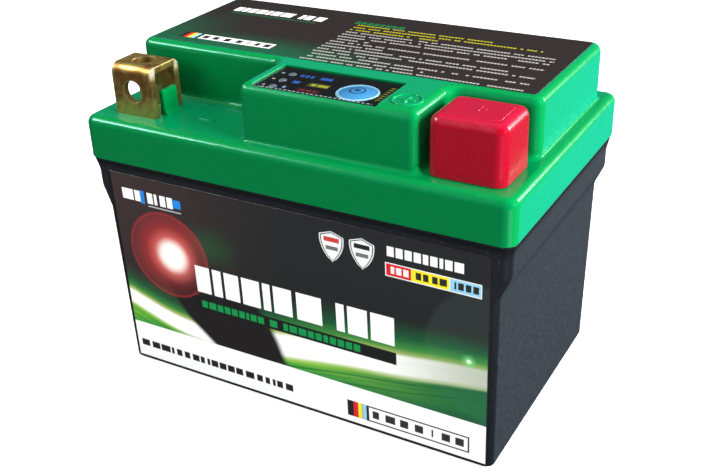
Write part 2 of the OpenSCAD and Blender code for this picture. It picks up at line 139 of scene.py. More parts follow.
def round_top(shape, height, radius, steps=7):
    """Rings of a rounded upper edge ending at a height; radius a number or (x, y) pair."""
    count = len(shape)
    radius_x, radius_y = radius if isinstance(radius, tuple) else (radius, radius)
    radius_x, radius_y = per_point(radius_x, count), per_point(radius_y, count)
    rings = []
    for k in range(steps + 1):
        angle = math.pi / 2 * k / steps
        inward, drop = 1 - math.cos(angle), 1 - math.sin(angle)
        rings.append(ring(
            shape, ([v * inward for v in radius_x], [v * inward for v in radius_y]),
            [height - (radius_x[i] * p.normal_x ** 2 + radius_y[i] * p.normal_y ** 2) * drop
             for i, p in enumerate(shape)]))
    return rings


def round_bottom(shape, height, radius, steps=4):
    rings = []
    for k in range(steps + 1):
        angle = math.pi / 2 * (1 - k / steps)
        rings.append(ring(shape, radius * (1 - math.cos(angle)),
                          height + radius * (1 - math.sin(angle))))
    return rings


# ------------------------------------------------------------------ bodies
def new_object(name, verts, faces):
    mesh = bpy.data.meshes.new(name)
    mesh.from_pydata(verts, [], faces)
    mesh.validate()
    body = bpy.data.objects.new(name, mesh)
    bpy.context.scene.collection.objects.link(body)
    return body


def loft(rings, name="part"):
    """Closed body through rings of equal point count, capped at both ends."""
    count = len(rings[0])
    faces = []
    for k in range(len(rings) - 1):
        low, high = k * count, (k + 1) * count
        for i in range(count):
            j = (i + 1) % count
            faces.append((low + i, low + j, high + j, high + i))
    faces.append(tuple(range(count - 1, -1, -1)))
    faces.append(tuple((len(rings) - 1) * count + i for i in range(count)))
    return new_object(name, [v for r in rings for v in r], faces)


def prism(shape, bottom, top):
    return loft([ring(shape, 0, bottom), ring(shape, 0, top)])


def revolve(profile, centre_1, centre_2, steps=64, front=None, name="part"):
    """Body of revolution from (radius, height) points, going up the outside.

    It stands on centre (x, y); with front given, it lies on centre (x, z) and its height
    runs towards -Y from y = front.
    """
    verts, faces, loops = [], [], []
    for radius, height in profile:
        if radius < 1e-6:
            loops.append([len(verts)])
            verts.append((0, 0, height))
        else:
            loops.append(list(range(len(verts), len(verts) + steps)))
            for i in range(steps):
                angle = 2 * math.pi * i / steps
                verts.append((radius * math.cos(angle), radius * math.sin(angle), height))
    for low, high in zip(loops, loops[1:]):
        for i in range(steps):
            j = (i + 1) % steps
            if len(low) == 1:
                faces.append((low[0], high[j], high[i]))
            elif len(high) == 1:
                faces.append((low[i], low[j], high[0]))
            else:
                faces.append((low[i], low[j], high[j], high[i]))
    if front is None:
        verts = [(x + centre_1, y + centre_2, z) for x, y, z in verts]
    else:
        verts = [(x + centre_1, front - z, y + centre_2) for x, y, z in verts]
    return new_object(name, verts, faces)


def cylinder(x, y, radius, bottom, top, steps):
    return revolve([(0, bottom), (radius, bottom), (radius, top), (0, top)], x, y, steps)


def bar(x, y, half_x, half_y, bottom, top, corner, edge):
    """Small raised bar with rounded corners and a rounded top edge."""
    shape = rounded_rect(x - half_x, x + half_x, y - half_y, y + half_y, corner, 4)
    return loft([ring(shape, 0, bottom)] + round_top(shape, top, edge, 3))


def cross(x, y, half_length, half_width, bottom, top_x, top_y, edge):
    """Two crossed bars; the one along x ends at top_x, the one along y at top_y."""
    return [bar(x, y, half_length, half_width, bottom, top_x, 0.2, edge),
            bar(x, y, half_width, half_length, bottom, top_y, 0.2, edge)]


def remove(bodies):
    for body in bodies:
        mesh = body.data
        bpy.data.objects.remove(body)
        bpy.data.meshes.remove(mesh)


def boolean(body, parts, operation):
    for part in parts:
        modifier = body.modifiers.new("b", "BOOLEAN")
        modifier.operation = operation
        modifier.solver = "EXACT"
        modifier.object = part
    bpy.context.view_layer.update()
    graph = bpy.context.evaluated_depsgraph_get()
    mesh = bpy.data.meshes.new_from_object(body.evaluated_get(graph))
    body.modifiers.clear()
    old = body.data
    body.data = mesh
    mesh.name = body.name
    bpy.data.meshes.remove(old)
    remove(parts)
    return body


def join(bodies, name):
    verts, faces = [], []
    for body in bodies:
        offset = len(verts)
        verts += [tuple(v.co) for v in body.data.vertices]
        faces += [tuple(offset + i for i in p.vertices) for p in body.data.polygons]
    remove(bodies)
    return new_object(name, verts, faces)


def finish_mesh(body, sharp_angle=36):
    """Cleans the mesh, smooths it with sharp edges by angle and scales it to metres."""
    bm = bmesh.new()
    bm.from_mesh(body.data)
    bmesh.ops.remove_doubles(bm, verts=bm.verts, dist=1e-4)
    bmesh.ops.dissolve_degenerate(bm, edges=bm.edges, dist=1e-4)
    bm.normal_update()
    limit = math.radians(sharp_angle)
    for face in bm.faces:
        face.smooth = True
    for edge in bm.edges:
        edge.smooth = not (len(edge.link_faces) == 2 and edge.calc_face_angle(0.0) > limit)
    bmesh.ops.scale(bm, vec=(0.001, 0.001, 0.001), verts=bm.verts)
    bm.to_mesh(body.data)
    bm.free()
    body.data.update()
    normals = body.modifiers.new("normals", "WEIGHTED_NORMAL")
    normals.mode = "FACE_AREA"
    normals.weight = 60
    normals.keep_sharp = True
    return body


# ------------------------------------------------------------------ lid
BLOCK_CORNER, INNER_CORNER, TOWER_CORNER = 1.7, 3, 2.6
LID_NECK = (54.15, 32.65, 3.1)         # half x, half y and corner radius of the lower opening
SLOT_HALF, SLOT_DEPTH = 6.25, 1.95     # slots where the terminals pass through the shelf
SLOT_FRONTS = (-29.15, -20.1)
BOSSES = ((3.5, -26.0), (26.5, -19.5))
MINUS_X, MINUS_Y = -26.6, -24.2
PLUS_X, PLUS_Y, PLUS_TOP = 28.1, -25.6, 85.0


def tower_outline():
    """Tower and the block in front of it, with concave corners between them."""
    block, inner, tower = BLOCK_CORNER, INNER_CORNER, TOWER_CORNER
    return outline([
        (BLOCK_LEFT + block, BLOCK_FRONT + block, block, 180, 270, 1),
        (BLOCK_RIGHT - block, BLOCK_FRONT + block, block, 270, 360, 1),
        (BLOCK_RIGHT + inner, TOWER_FRONT - inner, inner, 180, 90, -1),
        (TOWER_X - tower, TOWER_FRONT + tower, tower, 270, 360, 1),
        (TOWER_X - tower, TOWER_BACK - tower, tower, 0, 90, 1),
        (-TOWER_X + tower, TOWER_BACK - tower, tower, 90, 180, 1),
        (-TOWER_X + tower, TOWER_FRONT + tower, tower, 180, 270, 1),
        (BLOCK_LEFT - inner, TOWER_FRONT - inner, inner, 90, 0, -1)], 12)


def make_tower():
    """Hollow sweep out of the shelf, upright walls and a rounded top edge."""
    shape = tower_outline()
    edge_y, foot_x, foot_y = [], [], []
    for point in shape:
        on_block = point.centre_y < -20 and point.turn > 0
        edge_y.append(2.6 if on_block else (1.3 if point.centre_y > 10 else 2.0))
        foot_x.append(0.85 if abs(point.centre_x) > 45 else 1.7)
        foot_y.append(1.05 if on_block else 1.7)

    def flare(share):
        return [-v * share for v in foot_x], [-v * share for v in foot_y]

    foot_height = [foot_x[i] * p.normal_x ** 2 + foot_y[i] * p.normal_y ** 2
                   for i, p in enumerate(shape)]
    rings = [ring(shape, flare(0.83), SHELF - 1.0)]
    for k in range(13):
        angle = math.radians(10 + 80 * k / 12)
        rings.append(ring(shape, flare(1 - math.sin(angle)),
                          [SHELF + v * (1 - math.cos(angle)) for v in foot_height]))
    return loft(rings + round_top(shape, TOP, (2.0, edge_y), 14))


def nut_wall(x, side, foot):
    """Wall on the inner side of a terminal, thickened at its foot."""
    sweep_start, wall_end = SHELF + 0.25, SHELF + 5.6
    near, far = 5.3, 6.78

    def level(z, near, far, shift=0.0):
        return ring(side_rect(x, side, near, far, -26.1, -20.6, 0.66, 6), shift, z)

    rings = [level(SHELF - 0.4, 5.2, foot), level(sweep_start, 5.2, foot)]
    for k in range(1, 9):      # hollow sweep from the foot up to the wall
        angle = math.pi / 2 * k / 8
        rings.append(level(sweep_start + 1.6 * (1 - math.cos(angle)), 5.22,
                           foot - (foot - 6.9) * math.sin(angle)))
    rings.append(level(wall_end, near, far))
    for k in range(1, 7):      # rounded top
        angle = math.pi / 2 * k / 6
        rings.append(level(wall_end + 0.68 * math.sin(angle), near, far,
                           0.6 * (1 - math.cos(angle))))
    return loft(rings)


def lid_marks():
    """Bar on the shelf, ringed cross on the block."""
    bottom, top = TOP - 0.6, PLUS_TOP
    profile = [
        (3.0, bottom), (3.5, bottom), (3.5, top - 0.16), (3.44, top - 0.05), (3.34, top),
        (3.16, top), (3.06, top - 0.05), (3.0, top - 0.16), (3.0, bottom)]
    minus = bar(MINUS_X, MINUS_Y, 2.3, 0.5, SHELF - 0.4, SHELF + 0.3, 0.42, 0.2)
    return [minus, revolve(profile, PLUS_X, PLUS_Y, 72),
            *cross(PLUS_X, PLUS_Y, 1.9, 0.35, bottom, top - 0.02, top, 0.15)]


def lid_cutters():
    margin = 0.1      # gap round the test panel
    cutters = [
        prism(centred_rect(*LID_NECK), FLANGE_BOTTOM - 1, 68.3),
        prism(rounded_rect(-TOWER_X + 2.2, TOWER_X - 2.2, TOWER_FRONT + 2.2, TOWER_BACK - 2.2,
                           1.2), 64.0, TOP - 2.2),
        prism(rounded_rect(BLOCK_LEFT + 1.5, BLOCK_RIGHT - 1.5, BLOCK_FRONT + 1.5,
                           TOWER_FRONT + 8, 1.2), 63.5, TOP - 2.6),
        prism(rounded_rect(PANEL_LEFT - margin, PANEL_RIGHT + margin, PANEL_FRONT - margin,
                           PANEL_BACK + margin, 0.55), POCKET_FLOOR, TOP + 2),
        cylinder(BUTTON_X, BUTTON_Y, 5.02, 82.9, 86, 72),
        cylinder(BUTTON_X, BUTTON_Y, 2.75, 80, 83.5, 40)]
    cutters += [cylinder(LAMP_X, y, 1.2, 81, 86, 32) for y in LAMP_ROW]
    for x in (NEGATIVE_X, POSITIVE_X):
        for y in SLOT_FRONTS:
            slot = rounded_rect(x - SLOT_HALF, x + SLOT_HALF, y - 0.15, y + SLOT_DEPTH, 0.3, 3)
            cutters.append(prism(slot, 66.5, SHELF + 0.3))
    return cutters


def make_lid():
    flange = centred_rect(FLANGE_X, FLANGE_Y, 3.0, 12)
    lid = loft(round_bottom(flange, FLANGE_BOTTOM, 0.35)
               + round_top(flange, SHELF, (2.0, 2.2), 14), "lid_shell")
    added = [make_tower(), nut_wall(NEGATIVE_X, 1, 8.0), nut_wall(POSITIVE_X, -1, 6.95)]
    boolean(lid, added + lid_marks(), "UNION")
    boolean(lid, lid_cutters(), "DIFFERENCE")
    # bosses inside that take the test board's screws
    profile = [(0.95, 76.15), (2.3, 76.15), (2.3, 82.4), (0.95, 82.4), (0.95, 76.15)]
    boolean(lid, [revolve(profile, x, y, 32) for x, y in BOSSES], "UNION")
    return finish_mesh(lid)


# ------------------------------------------------------------------ case
# (height, half size) up the case, across x and across y
CASE_X = [(0, 52.4), (0.5, 52.82), (46.4, 53.2), (51.7, 55.6), (56.3, 55.6), (59.3, 56.15),
          (59.75, 56.2)]
CASE_Y = [(0, 32.4), (0.5, 32.87), (57.0, 34.15), (59.3, 34.62), (59.75, 34.7)]
CASE_RIM = ((0.06, 59.88), (0.2, 59.97), (0.4, 60.0))       # (inset, height)
CASE_NECK = ((0, 60.0), (0, 67.8), (0.3, 68.1))             # (inset, height)


def interpolate(profile, z):
    for (low, start), (high, end) in zip(profile, profile[1:]):
        if z <= high:
            return start + (end - start) * (z - low) / (high - low)


def soften(profile, reach=0.7):
    """Rounds the inner points of a height profile with short parabolas."""
    softened = [profile[0]]
    for (z0, v0), (z1, v1), (z2, v2) in zip(profile, profile[1:], profile[2:]):
        gap = min(reach, (z1 - z0) * 0.45, (z2 - z1) * 0.45)
        before = (z1 - gap, v1 - (v1 - v0) * gap / (z1 - z0))
        after = (z1 + gap, v1 + (v2 - v1) * gap / (z2 - z1))
        for k in range(6):
            t = k / 5
            softened.append(tuple(
                (1 - t) ** 2 * start + 2 * t * (1 - t) * middle + t * t * end
                for start, middle, end in zip(before, (z1, v1), after)))
    softened.append(profile[-1])
    return softened


def make_case():
    profile_x, profile_y = soften(CASE_X), soften(CASE_Y)
    heights = sorted({round(z, 4) for z, _ in profile_x + profile_y} | {10.0, 20.0, 30.0, 40.0})
    rings = []
    for z in heights:
        t = min(1, max(0, (z - 46.0) / 5.7))
        corner = 2.0 + 0.8 * t * t * (3 - 2 * t)
        shape = centred_rect(interpolate(profile_x, z), interpolate(profile_y, z), corner, 10)
        rings.append(ring(shape, 0, z))
    rim = centred_rect(56.2, 34.7, 2.8, 10)
    neck = centred_rect(54.0, 32.5, 3.0, 10)
    for shape, levels in ((rim, CASE_RIM), (neck, CASE_NECK)):
        rings += [ring(shape, shift, z) for shift, z in levels]
    case = loft(rings, "case_shell")
    boolean(case, [prism(centred_rect(50.7, 30.75, 2.0), 2.2, 70),
                   prism(centred_rect(52.1, 30.75, 2.0), 55, 71)], "DIFFERENCE")
    # upright ribs on the left and right inner walls
    ribs = [prism(side_rect(0, side, 49.5, 50.9, y - 0.8, y + 0.8, 0.2, 2), 2.1, 52)
            for side in (-1, 1) for y in (-18, 0, 18)]
    boolean(case, ribs, "UNION")
    return finish_mesh(case, 40)


# ------------------------------------------------------------------ terminals
STRIP_WIDTH, STRIP_THICKNESS, STRIP_EDGE = 12.2, 1.8, 0.38
BEND_RADIUS, BEND_Z, FRONT_BEND_Y, BACK_BEND_Y = 1.3, 81.15, -26.95, -20.5
FOOT_RADIUS, FOOT_BEND_Y, FOOT_BEND_Z = 1.5, -17.7, 68.0


def bend(y, z, radius, start, heading, turn, steps):
    """Quarter bend about (y, z) as (y, z, heading); angles in degrees, turn 1 or -1."""
    stations = []
    for k in range(1, steps + 1):
        swept = turn * 90 * k / steps
        angle = math.radians(start + swept)
        stations.append((y + radius * math.cos(angle), z + radius * math.sin(angle),
                         heading + swept))
    return stations


def make_terminal(name, centre_x):
    """Strip with rounded edges swept up, over, down and back to its foot, with three holes."""
    front_y, back_y = FRONT_BEND_Y - BEND_RADIUS, BACK_BEND_Y + BEND_RADIUS
    foot_z = FOOT_BEND_Z - FOOT_RADIUS
    path = [(front_y, 66.8, 90), (front_y, 72.0, 90), (front_y, BEND_Z, 90)]
    path += bend(FRONT_BEND_Y, BEND_Z, BEND_RADIUS, 180, 90, -1, 12)
    path.append((BACK_BEND_Y, BEND_Z + BEND_RADIUS, 0))
    path += bend(BACK_BEND_Y, BEND_Z, BEND_RADIUS, 90, 0, -1, 12)
    path += [(back_y, 72.0, -90), (back_y, FOOT_BEND_Z, -90)]
    path += bend(FOOT_BEND_Y, FOOT_BEND_Z, FOOT_RADIUS, 180, -90, 1, 8)
    path += [(-14.0, foot_z, 0), (-10.15, foot_z, 0)]
    section = centred_rect(STRIP_WIDTH / 2, STRIP_THICKNESS / 2, STRIP_EDGE, 5)
    rings = []
    for y, z, heading in path:
        angle = math.radians(heading)
        out_y, out_z = -math.sin(angle), math.cos(angle)
        rings.append([(centre_x + p.x, y + out_y * p.y, z + out_z * p.y) for p in section])
    front_hole = [(0, 0), (3.15, 0), (2.75, 0.95), (2.75, 2.25), (3.1, 3.2), (0, 3.2)]
    top_hole = [(0, 80), (2.75, 80), (2.75, 83.05), (3.2, 84.0), (0, 84.0)]
    strip = boolean(loft(rings, name), [
        revolve(front_hole, centre_x, 76.8, 56, front=-26.65),
        revolve(top_hole, centre_x, TERMINAL_Y, 56),
        cylinder(centre_x, -12.8, 1.6, 64, 69, 24)], "DIFFERENCE")
    return finish_mesh(strip, 38)


# ------------------------------------------------------------------ red cap
CAP_BOTTOM, CAP_TOP, CAP_EDGE = 70.88, 84.5, 2.25
# (near, far) reach of the inner ribs from the terminal, by side
CAP_RIBS = ((-1, 6.3, 8.0), (1, 6.3, 7.3))


def make_cap():
    shape = rounded_rect(POSITIVE_X - 9.2, POSITIVE_X + 8.5, -31.0, -16.1, 2.6, 12)
    rings = round_bottom(shape, CAP_BOTTOM, 0.3) + [ring(shape, 0.04, CAP_BOTTOM + 5)]
    for k in range(13):
        angle = math.pi / 2 * k / 12
        rings.append(ring(shape, 0.12 + CAP_EDGE * (1 - math.cos(angle)),
                          CAP_TOP - CAP_EDGE * (1 - math.sin(angle))))
    cap = loft(rings, "terminal_cap")
    # low pad on the top, with a raised cross
    pad_top = CAP_TOP + 0.15
    pad = rounded_rect(POSITIVE_X - 6.7, POSITIVE_X + 6.0, -28.45, -18.6, 1.4, 8)
    pad_body = loft([ring(pad, 0, CAP_TOP - 0.3), ring(pad, 0, CAP_TOP + 0.03)]
                    + round_top(pad, pad_top, 0.12, 4))
    boolean(cap, [pad_body, *cross(POSITIVE_X - 0.35, -23.5, 1.6, 0.3, pad_top - 0.3,
                                   pad_top + 0.12, pad_top + 0.13, 0.1)], "UNION")
    hollow = rounded_rect(POSITIVE_X - 7.75, POSITIVE_X + 7.05, -29.6, -17.5, 1.4)
    boolean(cap, [prism(hollow, 69, 83.5)], "DIFFERENCE")
    ribs = [prism(side_rect(POSITIVE_X, side, near, far, y - 0.4, y + 0.4, 0.15, 2), 72.8, 83.6)
            for side, near, far in CAP_RIBS for y in (-27.0, -20.0)]
    boolean(cap, ribs, "UNION")
    return finish_mesh(cap)


# ------------------------------------------------------------------ test panel
# (radius, height) of the button: stem, collar and wall, then the groove in its top
BUTTON_SIDE = [
    (0, 79.4), (1.6, 79.4), (1.6, 81.0), (3.4, 81.0), (3.4, 82.0), (2.6, 82.0), (2.6, 83.5),
    (4.75, 83.5), (4.9, 83.65), (4.9, 84.2)]
BUTTON_GROOVE = [(4.42, 84.5), (4.3, 84.47), (4.2, 84.42), (4.08, 84.4), (3.98, 84.44)]
LAMP_SIDE = [(0, 76.15), (1.18, 76.15), (1.18, 77.1), (1.05, 77.15), (1.05, 84.15)]


def make_button():
    profile = list(BUTTON_SIDE)
    for k in range(1, 7):      # rounded rim
        angle = math.pi / 2 * k / 6
        profile.append((4.9 - 0.3 * (1 - math.cos(angle)), 84.2 + 0.3 * math.sin(angle)))
    profile += BUTTON_GROOVE
    for k in range(1, 12):     # domed middle
        radius = 3.9 * (1 - k / 12)
        profile.append((radius, 84.47 + 0.5 * (1 - (radius / 3.9) ** 2)))
    profile.append((0, 84.97))
    return finish_mesh(revolve(profile, BUTTON_X, BUTTON_Y, 96, name="push_button"), 40)


def make_lamps():
    profile = list(LAMP_SIDE)
    for k in range(1, 8):      # domed end
        angle = math.pi / 2 * k / 8
        profile.append((1.05 * math.cos(angle), 84.15 + 0.45 * math.sin(angle)))
    profile.append((0, 84.6))
    return finish_mesh(join([revolve(profile, LAMP_X, y, 40) for y in LAMP_ROW], "lamps"), 50)


# ------------------------------------------------------------------ films
# (inset, height above the surface) of a film's rings
LABEL_LAYERS = ((0.0, 0.02), (0.0, 0.13), (0.05, 0.17))
PANEL_LAYERS = ((0.0, 0.02), (0.0, 0.26), (0.05, 0.32))


def flat_film(shape, surface, layers, name):
    return loft([ring(shape, shift, surface + rise) for shift, rise in layers], name)


def make_panel():
    shape = rounded_rect(PANEL_LEFT, PANEL_RIGHT, PANEL_FRONT, PANEL_BACK, 0.5, 6)
    film = flat_film(shape, POCKET_FLOOR, PANEL_LAYERS, "panel_film_sheet")
    holes = [cylinder(BUTTON_X, BUTTON_Y, 5.02, 83, 86, 72)]
    holes += [cylinder(LAMP_X, y, 1.15, 83, 86, 32) for y in LAMP_ROW]
    return finish_mesh(boolean(film, holes, "DIFFERENCE"))


def make_front_label():
    """Film on the tapering front face; its outline is drawn in x and z."""
    def face_y(z):
        return -(32.85 + (34.15 - 32.85) * (z - 0.4) / 56.6)

    shape = rounded_rect(-51.5, 51.5, 0.7, 56.9, (1.3, 0.5, 0.5, 1.3), 6)
    rings = [[(p.x - p.normal_x * shift, face_y(p.y) - rise, p.y - p.normal_y * shift)
              for p in shape] for shift, rise in LABEL_LAYERS]
    return finish_mesh(loft(rings, "front_film_sheet"))


def make_top_label():
    shape = rounded_rect(-51.4, 51.4, -11.5, 27.6, 0.8, 6)
    return finish_mesh(flat_film(shape, TOP, LABEL_LAYERS, "top_film_sheet"))


# ------------------------------------------------------------------ shader tools
def rgb(red, green, blue):
    """Linear colour from 0-255 sRGB values."""
    def linear(value):
        value /= 255.0
        return value / 12.92 if value <= 0.04045 else ((value + 0.055) / 1.055) ** 2.4
    return (linear(red), linear(green), linear(blue), 1.0)


def shade(colour, factor, lift=0.0):
    return tuple(min(1, value * factor + lift) for value in colour[:3]) + (1,)


MARKS_LEFT, MARKS_RIGHT = -56, 56      # range covered by a row of printed blocks


class Shader:
    """Material built on one Principled node; x, y, z are object places in millimetres.

    Masks run from 0 to 1. The base colour is built up in layers with paint().
    """

    def __init__(self, name):
        self.material = bpy.data.materials.new(name)
        self.material.use_nodes = True
        self.tree = self.material.node_tree
        self.tree.nodes.clear()
        output = self.new("ShaderNodeOutputMaterial")
        self.principled = self.new("ShaderNodeBsdfPrincipled")
        self.put(output.inputs[0], self.principled.outputs[0])
        self.place = self.new("ShaderNodeTexCoord").outputs["Object"]
        self.colour = None

    def new(self, kind):
        return self.tree.nodes.new(kind)

    def put(self, socket, value):
        if isinstance(value, bpy.types.NodeSocket):
            self.tree.links.new(value, socket)
        else:
            socket.default_value = value

    def set(self, **values):
        for key, value in values.items():
            self.put(self.principled.inputs[key.replace("_", " ")], value)

    def separate(self, vector):
        node = self.new("ShaderNodeSeparateXYZ")
        self.put(node.inputs[0], vector)
        return node.outputs

    @cached_property
    def axes(self):
        return self.separate(self.place)

    @cached_property
    def x(self):
        return self.times(self.axes[0], 1000.0)

    @cached_property
    def y(self):
        return self.times(self.axes[1], 1000.0)

    @cached_property
    def z(self):
        return self.times(self.axes[2], 1000.0)

    def normal(self):
        return self.separate(self.new("ShaderNodeNewGeometry").outputs["Normal"])

    # --- sums
    def math(self, operation, *values, clamp=False):
        node = self.new("ShaderNodeMath")
        node.operation = operation
        node.use_clamp = clamp
        for socket, value in zip(node.inputs, values):
            self.put(socket, value)
        return node.outputs[0]

    def times(self, a, b):
        return self.math("MULTIPLY", a, b)

    def plus(self, a, b):
        return self.math("ADD", a, b)

    def minus(self, a, b):
        return self.math("SUBTRACT", a, b)

    def size(self, a):
        return self.math("ABSOLUTE", a)

    def scaled(self, value, factor, offset, clamp=False):
        return self.math("MULTIPLY_ADD", value, factor, offset, clamp=clamp)

    def length(self, a, b):
        return self.math("SQRT", self.plus(self.times(a, a), self.times(b, b)))

    def remap(self, value, to_low, to_high, low=0.0, high=1.0):
        node = self.new("ShaderNodeMapRange")
        self.put(node.inputs["Value"], value)
        node.inputs["From Min"].default_value = low
        node.inputs["From Max"].default_value = high
        node.inputs["To Min"].default_value = to_low
        node.inputs["To Max"].default_value = to_high
        return node.outputs[0]

    # --- masks
    def above(self, value, edge, width=0.1):
        """0 below the edge, 1 above it, over a width."""
        return self.scaled(value, 1.0 / width, 0.5 - edge / width, clamp=True)

    def inverse(self, mask):
        return self.minus(1.0, mask)

    def below(self, value, edge, width=0.1):
        return self.inverse(self.above(value, edge, width))

    def both(self, first, *others):
        for mask in others:
            first = self.times(first, mask)
        return first

    def either(self, a, b):
        return self.math("MAXIMUM", a, b)

    def between(self, value, low, high, width=0.1):
        return self.both(self.above(value, low, width), self.below(value, high, width))

    def smooth(self, value, start, end):
        """Eases from 0 at start to 1 at end."""
        node = self.new("ShaderNodeMapRange")
        node.interpolation_type = "SMOOTHSTEP"
        self.put(node.inputs["Value"], value)
        node.inputs["From Min"].default_value = start
        node.inputs["From Max"].default_value = end
        return node.outputs[0]

    def marks(self, value, spans):
        """1 inside each (start, end) span."""
        reach = MARKS_RIGHT - MARKS_LEFT
        node = self.new("ShaderNodeValToRGB")
        node.color_ramp.interpolation = "CONSTANT"
        self.put(node.inputs[0],
                 self.scaled(value, 1.0 / reach, -MARKS_LEFT / reach, clamp=True))
        elements = node.color_ramp.elements
        elements[1].color = (0, 0, 0, 1)
        for span in spans:
            for place, level in zip(span, (1.0, 0.0)):
                element = elements.new((place - MARKS_LEFT) / reach)
                element.color = (level, level, level, 1)
        return node.outputs[0]

    def curve(self, value, scale, points):
        """Smooth curve through (value, result / scale) points."""
        low, high = points[0][0], points[-1][0]
        node = self.new("ShaderNodeFloatCurve")
        self.put(node.inputs["Value"],
                 self.scaled(value, 1.0 / (high - low), -low / (high - low), clamp=True))
        curve = node.mapping.curves[0]
        curve.points[0].location = (0.0, points[0][1])
        curve.points[1].location = (1.0, points[-1][1])
        for place, level in points[1:-1]:
            curve.points.new((place - low) / (high - low), level)
        node.mapping.update()
        return self.times(node.outputs[0], scale)

    # --- textures and surface
    def noise(self, scale, detail=3.0, roughness=0.55, vector=None, distortion=0.0):
        node = self.new("ShaderNodeTexNoise")
        self.put(node.inputs["Vector"], self.place if vector is None else vector)
        node.inputs["Scale"].default_value = scale
        node.inputs["Detail"].default_value = detail
        node.inputs["Roughness"].default_value = roughness
        node.inputs["Distortion"].default_value = distortion
        return node.outputs["Fac"]

    def stretch(self, x, y, z):
        node = self.new("ShaderNodeMapping")
        self.put(node.inputs["Vector"], self.place)
        node.inputs["Scale"].default_value = (x, y, z)
        return node.outputs[0]

    def facing(self):
        """Rises to 1 where the surface is seen at a grazing angle."""
        node = self.new("ShaderNodeLayerWeight")
        node.inputs["Blend"].default_value = 0.5
        return node.outputs["Facing"]

    def bevel(self, radius):
        node = self.new("ShaderNodeBevel")
        node.samples = 4
        node.inputs["Radius"].default_value = radius
        return node.outputs[0]

    def edge(self, radius, gain):
        """About 1 on edges, 0 elsewhere; radius in metres."""
        dot = self.new("ShaderNodeVectorMath")
        dot.operation = "DOT_PRODUCT"
        self.put(dot.inputs[0], self.bevel(radius))
        self.put(dot.inputs[1], self.new("ShaderNodeNewGeometry").outputs["Normal"])
        return self.math("MULTIPLY", self.inverse(dot.outputs["Value"]), gain, clamp=True)

    def bump(self, height, strength, distance=0.0001, bevel=0.0):
        node = self.new("ShaderNodeBump")
        node.inputs["Strength"].default_value = strength
        node.inputs["Distance"].default_value = distance
        self.put(node.inputs["Height"], height)
        if bevel:
            self.put(node.inputs["Normal"], self.bevel(bevel))
        self.set(Normal=node.outputs[0])

    # --- colour
    def mix(self, mask, a, b):
        node = self.new("ShaderNodeMix")
        node.data_type = "RGBA"
        self.put(node.inputs[0], mask)
        self.put(node.inputs[6], a)
        self.put(node.inputs[7], b)
        return node.outputs[2]

    def paint(self, mask, colour, amount=None):
        """Lays a colour over what is there, where the mask is 1."""
        if amount is not None:
            mask = self.times(mask, amount)
        self.colour = self.mix(mask, self.colour, colour)

    def finish(self, roughness, **values):
        self.set(Base_Color=self.colour, Roughness=roughness, **values)


class Print(Shader):
    """Printed film, drawn in x and one other axis, both in millimetres."""

    def __init__(self, name, up_axis):
        super().__init__(name)
        self.up = getattr(self, up_axis)

    def box(self, left, right, low, high):
        return self.both(self.between(self.x, left, right), self.between(self.up, low, high))

    def paint_boxes(self, boxes):
        """Boxes: (left, right, low, high, colour)."""
        for *sides, colour in boxes:
            self.paint(self.box(*sides), rgb(*colour))

    def blocks(self, low, high, spans, soft=0.12, along=None):
        """Row of blocks with (left, right) spans."""
        along = self.x if along is None else along
        return self.both(self.marks(along, spans), self.between(self.up, low, high, soft))

    def finish_film(self, smoothest, roughest):
        self.finish(self.remap(self.noise(420, 6, 0.72), smoothest, roughest, 0.35, 0.7),
                    Specular_IOR_Level=0.5)
        waves = self.times(self.noise(60, 2), 2.0)
        self.bump(self.plus(self.noise(700, 3), waves), strength=0.05, distance=0.00005)
        return self.material


def spans_from(start, widths, gap):
    """(left, right) of blocks set side by side."""
    spans = []
    for width in widths:
        spans.append((start, start + width))
        start += width + gap
    return spans


# ------------------------------------------------------------------ general materials
def plastic(name, colour, rough=0.3, grain=0.05, grain_scale=2500, vary=0.06, coat=0.0,
            bevel=0.0, **values):
    mat = Shader(name)
    fine = mat.noise(grain_scale, detail=2, roughness=0.6)
    scuff = mat.noise(260, detail=5, roughness=0.7, vector=mat.stretch(1, 1, 0.25))
    mat.colour = mat.mix(mat.noise(35, detail=4), shade(colour, 1 - vary),
                         shade(colour, 1 + vary, 0.002))
    mat.paint(mat.edge(radius=0.0005, gain=6.0), shade(colour, 1.35, 0.02), amount=0.25)
    mat.finish(mat.plus(mat.remap(scuff, rough * 0.8, rough * 1.25, 0.3, 0.7),
                        mat.remap(fine, -0.02, 0.03)), Specular_IOR_Level=0.5, **values)
    if coat:
        mat.set(Coat_Weight=coat, Coat_Roughness=0.06)
    mat.bump(fine, grain, 0.00008, bevel)
    return mat.material


def metal(name, colour, rough, tint=None):
    mat = Shader(name)
    brushed = mat.noise(900, detail=4, roughness=0.7, vector=mat.stretch(0.15, 1, 1))
    cloud = mat.noise(40, detail=5, roughness=0.6)
    mat.colour = mat.mix(mat.smooth(cloud, 0.35, 0.7), colour, tint or shade(colour, 0.75))
    mat.paint(mat.edge(radius=0.0004, gain=6.0), shade(colour, 1.25, 0.08), amount=0.6)
    mat.finish(mat.plus(mat.remap(brushed, rough * 0.7, rough * 1.4, 0.25, 0.75),
                        mat.remap(cloud, -0.05, 0.08)), Metallic=1.0)
    mat.bump(brushed, strength=0.3, distance=0.00003, bevel=0.0002)
    return mat.material


